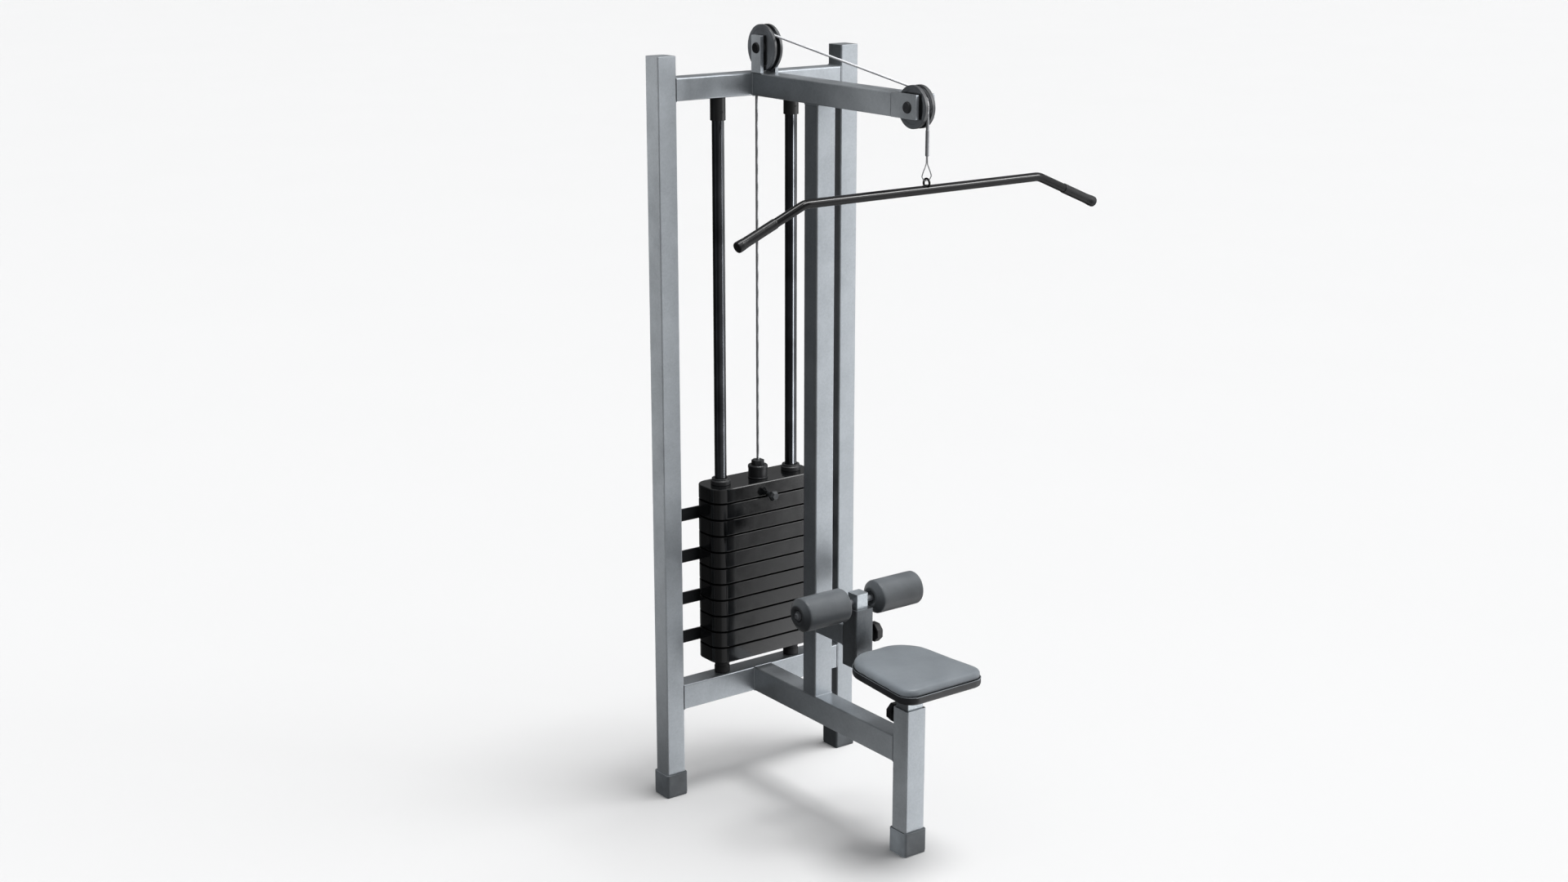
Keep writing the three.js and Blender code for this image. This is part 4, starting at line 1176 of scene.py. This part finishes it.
def make_knob(name, node, axis, wall, thick):
    """An eight-sided plastic hand wheel on its screw, which comes out of the tube's wall along the axis."""
    low, high, centre = span(node)
    s = "xyz".index(axis)
    hub = centre.copy()
    hub[s] = 0
    outer = high[s]
    disc = outer - thick
    screw = mm((0, 0), (3.6, 0), (4.8, 1.5), start=low[s]) + mm((4.8, 2), (0, 2), start=disc)
    stem = mm((0, 0), (8.4, 0), start=wall) + mm((8.4, -3), (11, 0), (11, 2), (0, 2), start=disc)
    cap = mm((0, -0.2), (11, -0.2), (10, -1.6), (0, -1.6), start=outer)
    outline = circle((high.z - low.z) / 2, 8, *(hub[i] for i in range(3) if i != s))
    knob = merge(name, lathe_bm(screw, axis, hub, 24, 0.2 * MM), lathe_bm(stem, axis, hub, 36, 0.6 * MM),
                 prism_bm([outline], axis, disc, outer, 3.6 * MM, 4), lathe_bm(cap, axis, hub, 40, 0.2 * MM))
    stands_for(knob, node, smooth_angle=30)


def make_thigh_pad():
    hollow_post("thigh_post_inner", "thigh_inner_post")
    make_rollers()
    make_roller_axle()
    make_knob("thigh_wheel", "thigh_knob", "x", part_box("thigh_sleeve")[1].x + 0.6 * MM, 22 * MM)


# ---- seat ----
SEAT_TAPER = 28 * MM
FRONT_CORNER = 42 * MM
BACK_CORNER = 90 * MM
CROWN_INSET = 40 * MM
CROWN_REACH = 140 * MM
CLOTH_FRAMES = 20
CLOTH_SETTINGS = {"quality": 5, "mass": 0.5, "tension_stiffness": 40, "compression_stiffness": 40,
                  "shear_stiffness": 20, "bending_stiffness": 6.0, "use_pressure": True,
                  "uniform_pressure_force": 4.0, "vertex_group_mass": "held"}
VOXEL = 5 * MM
MOST_SWELL = 3.5 * MM


def seat_outline(inset):
    """Rounded trapezoid, wider at the front, from the board's box."""
    low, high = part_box("seat_board")
    half_back = high.x - SEAT_TAPER
    corners = [(-high.x, low.y, FRONT_CORNER), (high.x, low.y, FRONT_CORNER),
               (half_back, high.y, BACK_CORNER), (-half_back, high.y, BACK_CORNER)]
    points = []
    for i, (x, y, r) in enumerate(corners):
        here = Vector((x, y))
        before = (Vector(corners[i - 1][:2]) - here).normalized()
        after = (Vector(corners[(i + 1) % 4][:2]) - here).normalized()
        angle = before.angle(after)
        hub = here + (before + after).normalized() * (r / math.sin(angle / 2))
        reach = r / math.tan(angle / 2)
        a = here + before * reach - hub
        b = here + after * reach - hub
        start = math.atan2(a.y, a.x)
        turn = (math.atan2(b.y, b.x) - start) % math.tau
        for k in range(15):
            t = start + turn * k / 14
            points.append((hub.x + (r - inset) * math.cos(t), hub.y + (r - inset) * math.sin(t)))
    return points


def make_board():
    """The moulded shell under the cushion, and the plate and four bolts below it."""
    low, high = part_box("seat_board")
    layers = mm((9, 0), (4.5, 0.6), (1.8, 2.4), (0.5, 5), (0, 8.5), start=low.z)
    layers += mm((0, -2.2), (0.6, -0.8), (1.8, 0), start=high.z)
    rings = [[(x, y, z) for x, y in seat_outline(inset)] for inset, z in layers]
    stands_for(made("seat_shell", loft_bm(rings)), "seat_board")
    y = middle("seat_inner_post").y
    under = low.z - 5 * MM
    outline = rounded_rect(110 * MM, 120 * MM, 8 * MM, 0, y)
    plate = prism("seat_plate", [outline], "z", under, low.z + 0.5 * MM, 0.8 * MM)
    goes_with(plate, "seat_board", "black_steel")
    for sx, column in ((-1, "l"), (1, "r")):
        for sy, row in ((-1, "f"), (1, "b")):
            at = Vector((sx * 43 * MM, y + sy * 46 * MM, under))
            bolt = merge(f"seat_bolt_{column}{row}", *hex_bolt_bms("z", at, -1, 10 * MM, 4.5 * MM))
            goes_with(bolt, "seat_board", "inner_tube_steel")


def cushion_blank(low, high):
    """A crowned closed form a little smaller than the cushion, before it is inflated."""
    layers = mm((5, 0.3), (3.6, 1.2), (2.9, 3.4), (2.6, 7), start=low.z)
    layers += mm((2.6, -13), (2.9, -9), (3.6, -6.4), (5, -4.4), (7.4, -3), (11, -2.3), (17, -2), (26, -1.8),
                 (38, -1.5), (58, -1.2), (84, -1), start=high.z)
    hub = Vector((0, (low.y + high.y) / 2 + 12 * MM))
    rings = []
    for inset, z in layers:
        outline = [Vector(point) for point in seat_outline(min(inset, CROWN_INSET))]
        if inset > CROWN_INSET:
            outline = [hub + (p - hub) * (1 - (inset - CROWN_INSET) / CROWN_REACH) for p in outline]
        rings.append([(p.x, p.y, z) for p in outline])
    return made("seat_pad", loft_bm(rings))


def even_out(mesh, moves, rounds):
    """Foam evens out the cover's wrinkles: each point's move is averaged with its neighbours' moves."""
    ends = np.empty(len(mesh.edges) * 2, dtype=int)
    mesh.edges.foreach_get("vertices", ends)
    here = np.concatenate((ends[0::2], ends[1::2]))
    there = np.concatenate((ends[1::2], ends[0::2]))
    count = np.maximum(np.bincount(here, minlength=len(moves)), 1)
    field = np.array(moves)
    for _ in range(rounds):
        for axis in range(3):
            near = np.bincount(here, weights=field[there, axis], minlength=len(moves)) / count
            field[:, axis] = 0.4 * field[:, axis] + 0.6 * near
    return [Vector(move) for move in field]


def inflate(obj):
    """Cloth simulation of a vinyl cover full of foam, each point kept near where it started."""
    remesh = obj.modifiers.new("voxels", "REMESH")
    remesh.mode = "VOXEL"
    remesh.voxel_size = VOXEL
    apply_modifiers(obj)
    start = [v.co.copy() for v in obj.data.vertices]
    floor_z = min(p.z for p in start)
    held = [i for i, p in enumerate(start) if p.z < floor_z + 3 * MM]
    obj.vertex_groups.new(name="held").add(held, 1.0, "REPLACE")
    cloth = obj.modifiers.new("cloth", "CLOTH")
    for key, value in CLOTH_SETTINGS.items():
        setattr(cloth.settings, key, value)
    cloth.settings.effector_weights.gravity = 0
    cloth.collision_settings.use_collision = False
    scene = bpy.context.scene
    for frame_number in range(1, CLOTH_FRAMES + 1):
        scene.frame_set(frame_number)
    apply_modifiers(obj)
    scene.frame_set(1)
    moves = even_out(obj.data, [v.co - home for v, home in zip(obj.data.vertices, start)], 40)
    for v, home, move in zip(obj.data.vertices, start, moves):
        v.co = home + move * min(1.0, MOST_SWELL / max(move.length, 1e-9))
    smooth = obj.modifiers.new("smooth", "SMOOTH")
    smooth.factor = 0.5
    smooth.iterations = 4


def fit_cushion(obj, low, high):
    """Scales the swollen pad's height to its solid: flat on the shell, its crown just at the top."""
    foot = low.z + 0.2 * MM
    crown = max(v.co.z for v in obj.data.vertices)
    for v in obj.data.vertices:
        v.co.z = foot + max(0.0, v.co.z - foot) * (high.z - foot) / (crown - foot)


def make_cushion():
    low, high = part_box("seat_cushion")
    pad = cushion_blank(low, high)
    inflate(pad)
    pad.modifiers.new("fine", "SUBSURF").levels = 1
    apply_modifiers(pad)
    fit_cushion(pad, low, high)
    stands_for(pad, "seat_cushion", smooth_angle=70)
    line = [Vector((x, y, low.z + 1.2 * MM)) for x, y in seat_outline(0.9 * MM)]
    piping = sweep("seat_piping", smooth_path([*line, line[0]], 2), 1.25 * MM, 10)
    goes_with(piping, "seat_cushion", "piping")


def make_seat():
    hollow_post("seat_post_inner", "seat_inner_post")
    make_board()
    make_cushion()
    make_knob("seat_wheel", "seat_knob", "y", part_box("front_post")[1].y + 2.8 * MM, 20 * MM)


def build():
    FINISH.update(make_finishes())
    make_studio()
    make_posts()
    make_top_beam()
    make_arm()
    make_welds()
    make_feet()
    make_slats()
    make_guide_rods()
    make_plates()
    make_stem()
    make_bushes()
    make_pin()
    make_ears()
    make_pulley("rear_wheel_look", "rear_pulley", REAR_PITCH, REAR_RIM_STEP)
    make_pulley("front_wheel_look", "front_pulley", FRONT_PITCH, FRONT_RIM_STEP)
    make_axle("rear_bolt", "rear_pulley_axle")
    make_axle("front_bolt", "front_pulley_axle")
    make_cable()
    make_cable_end()
    make_bar()
    make_thigh_pad()
    make_seat()
    confine_lights()


build()
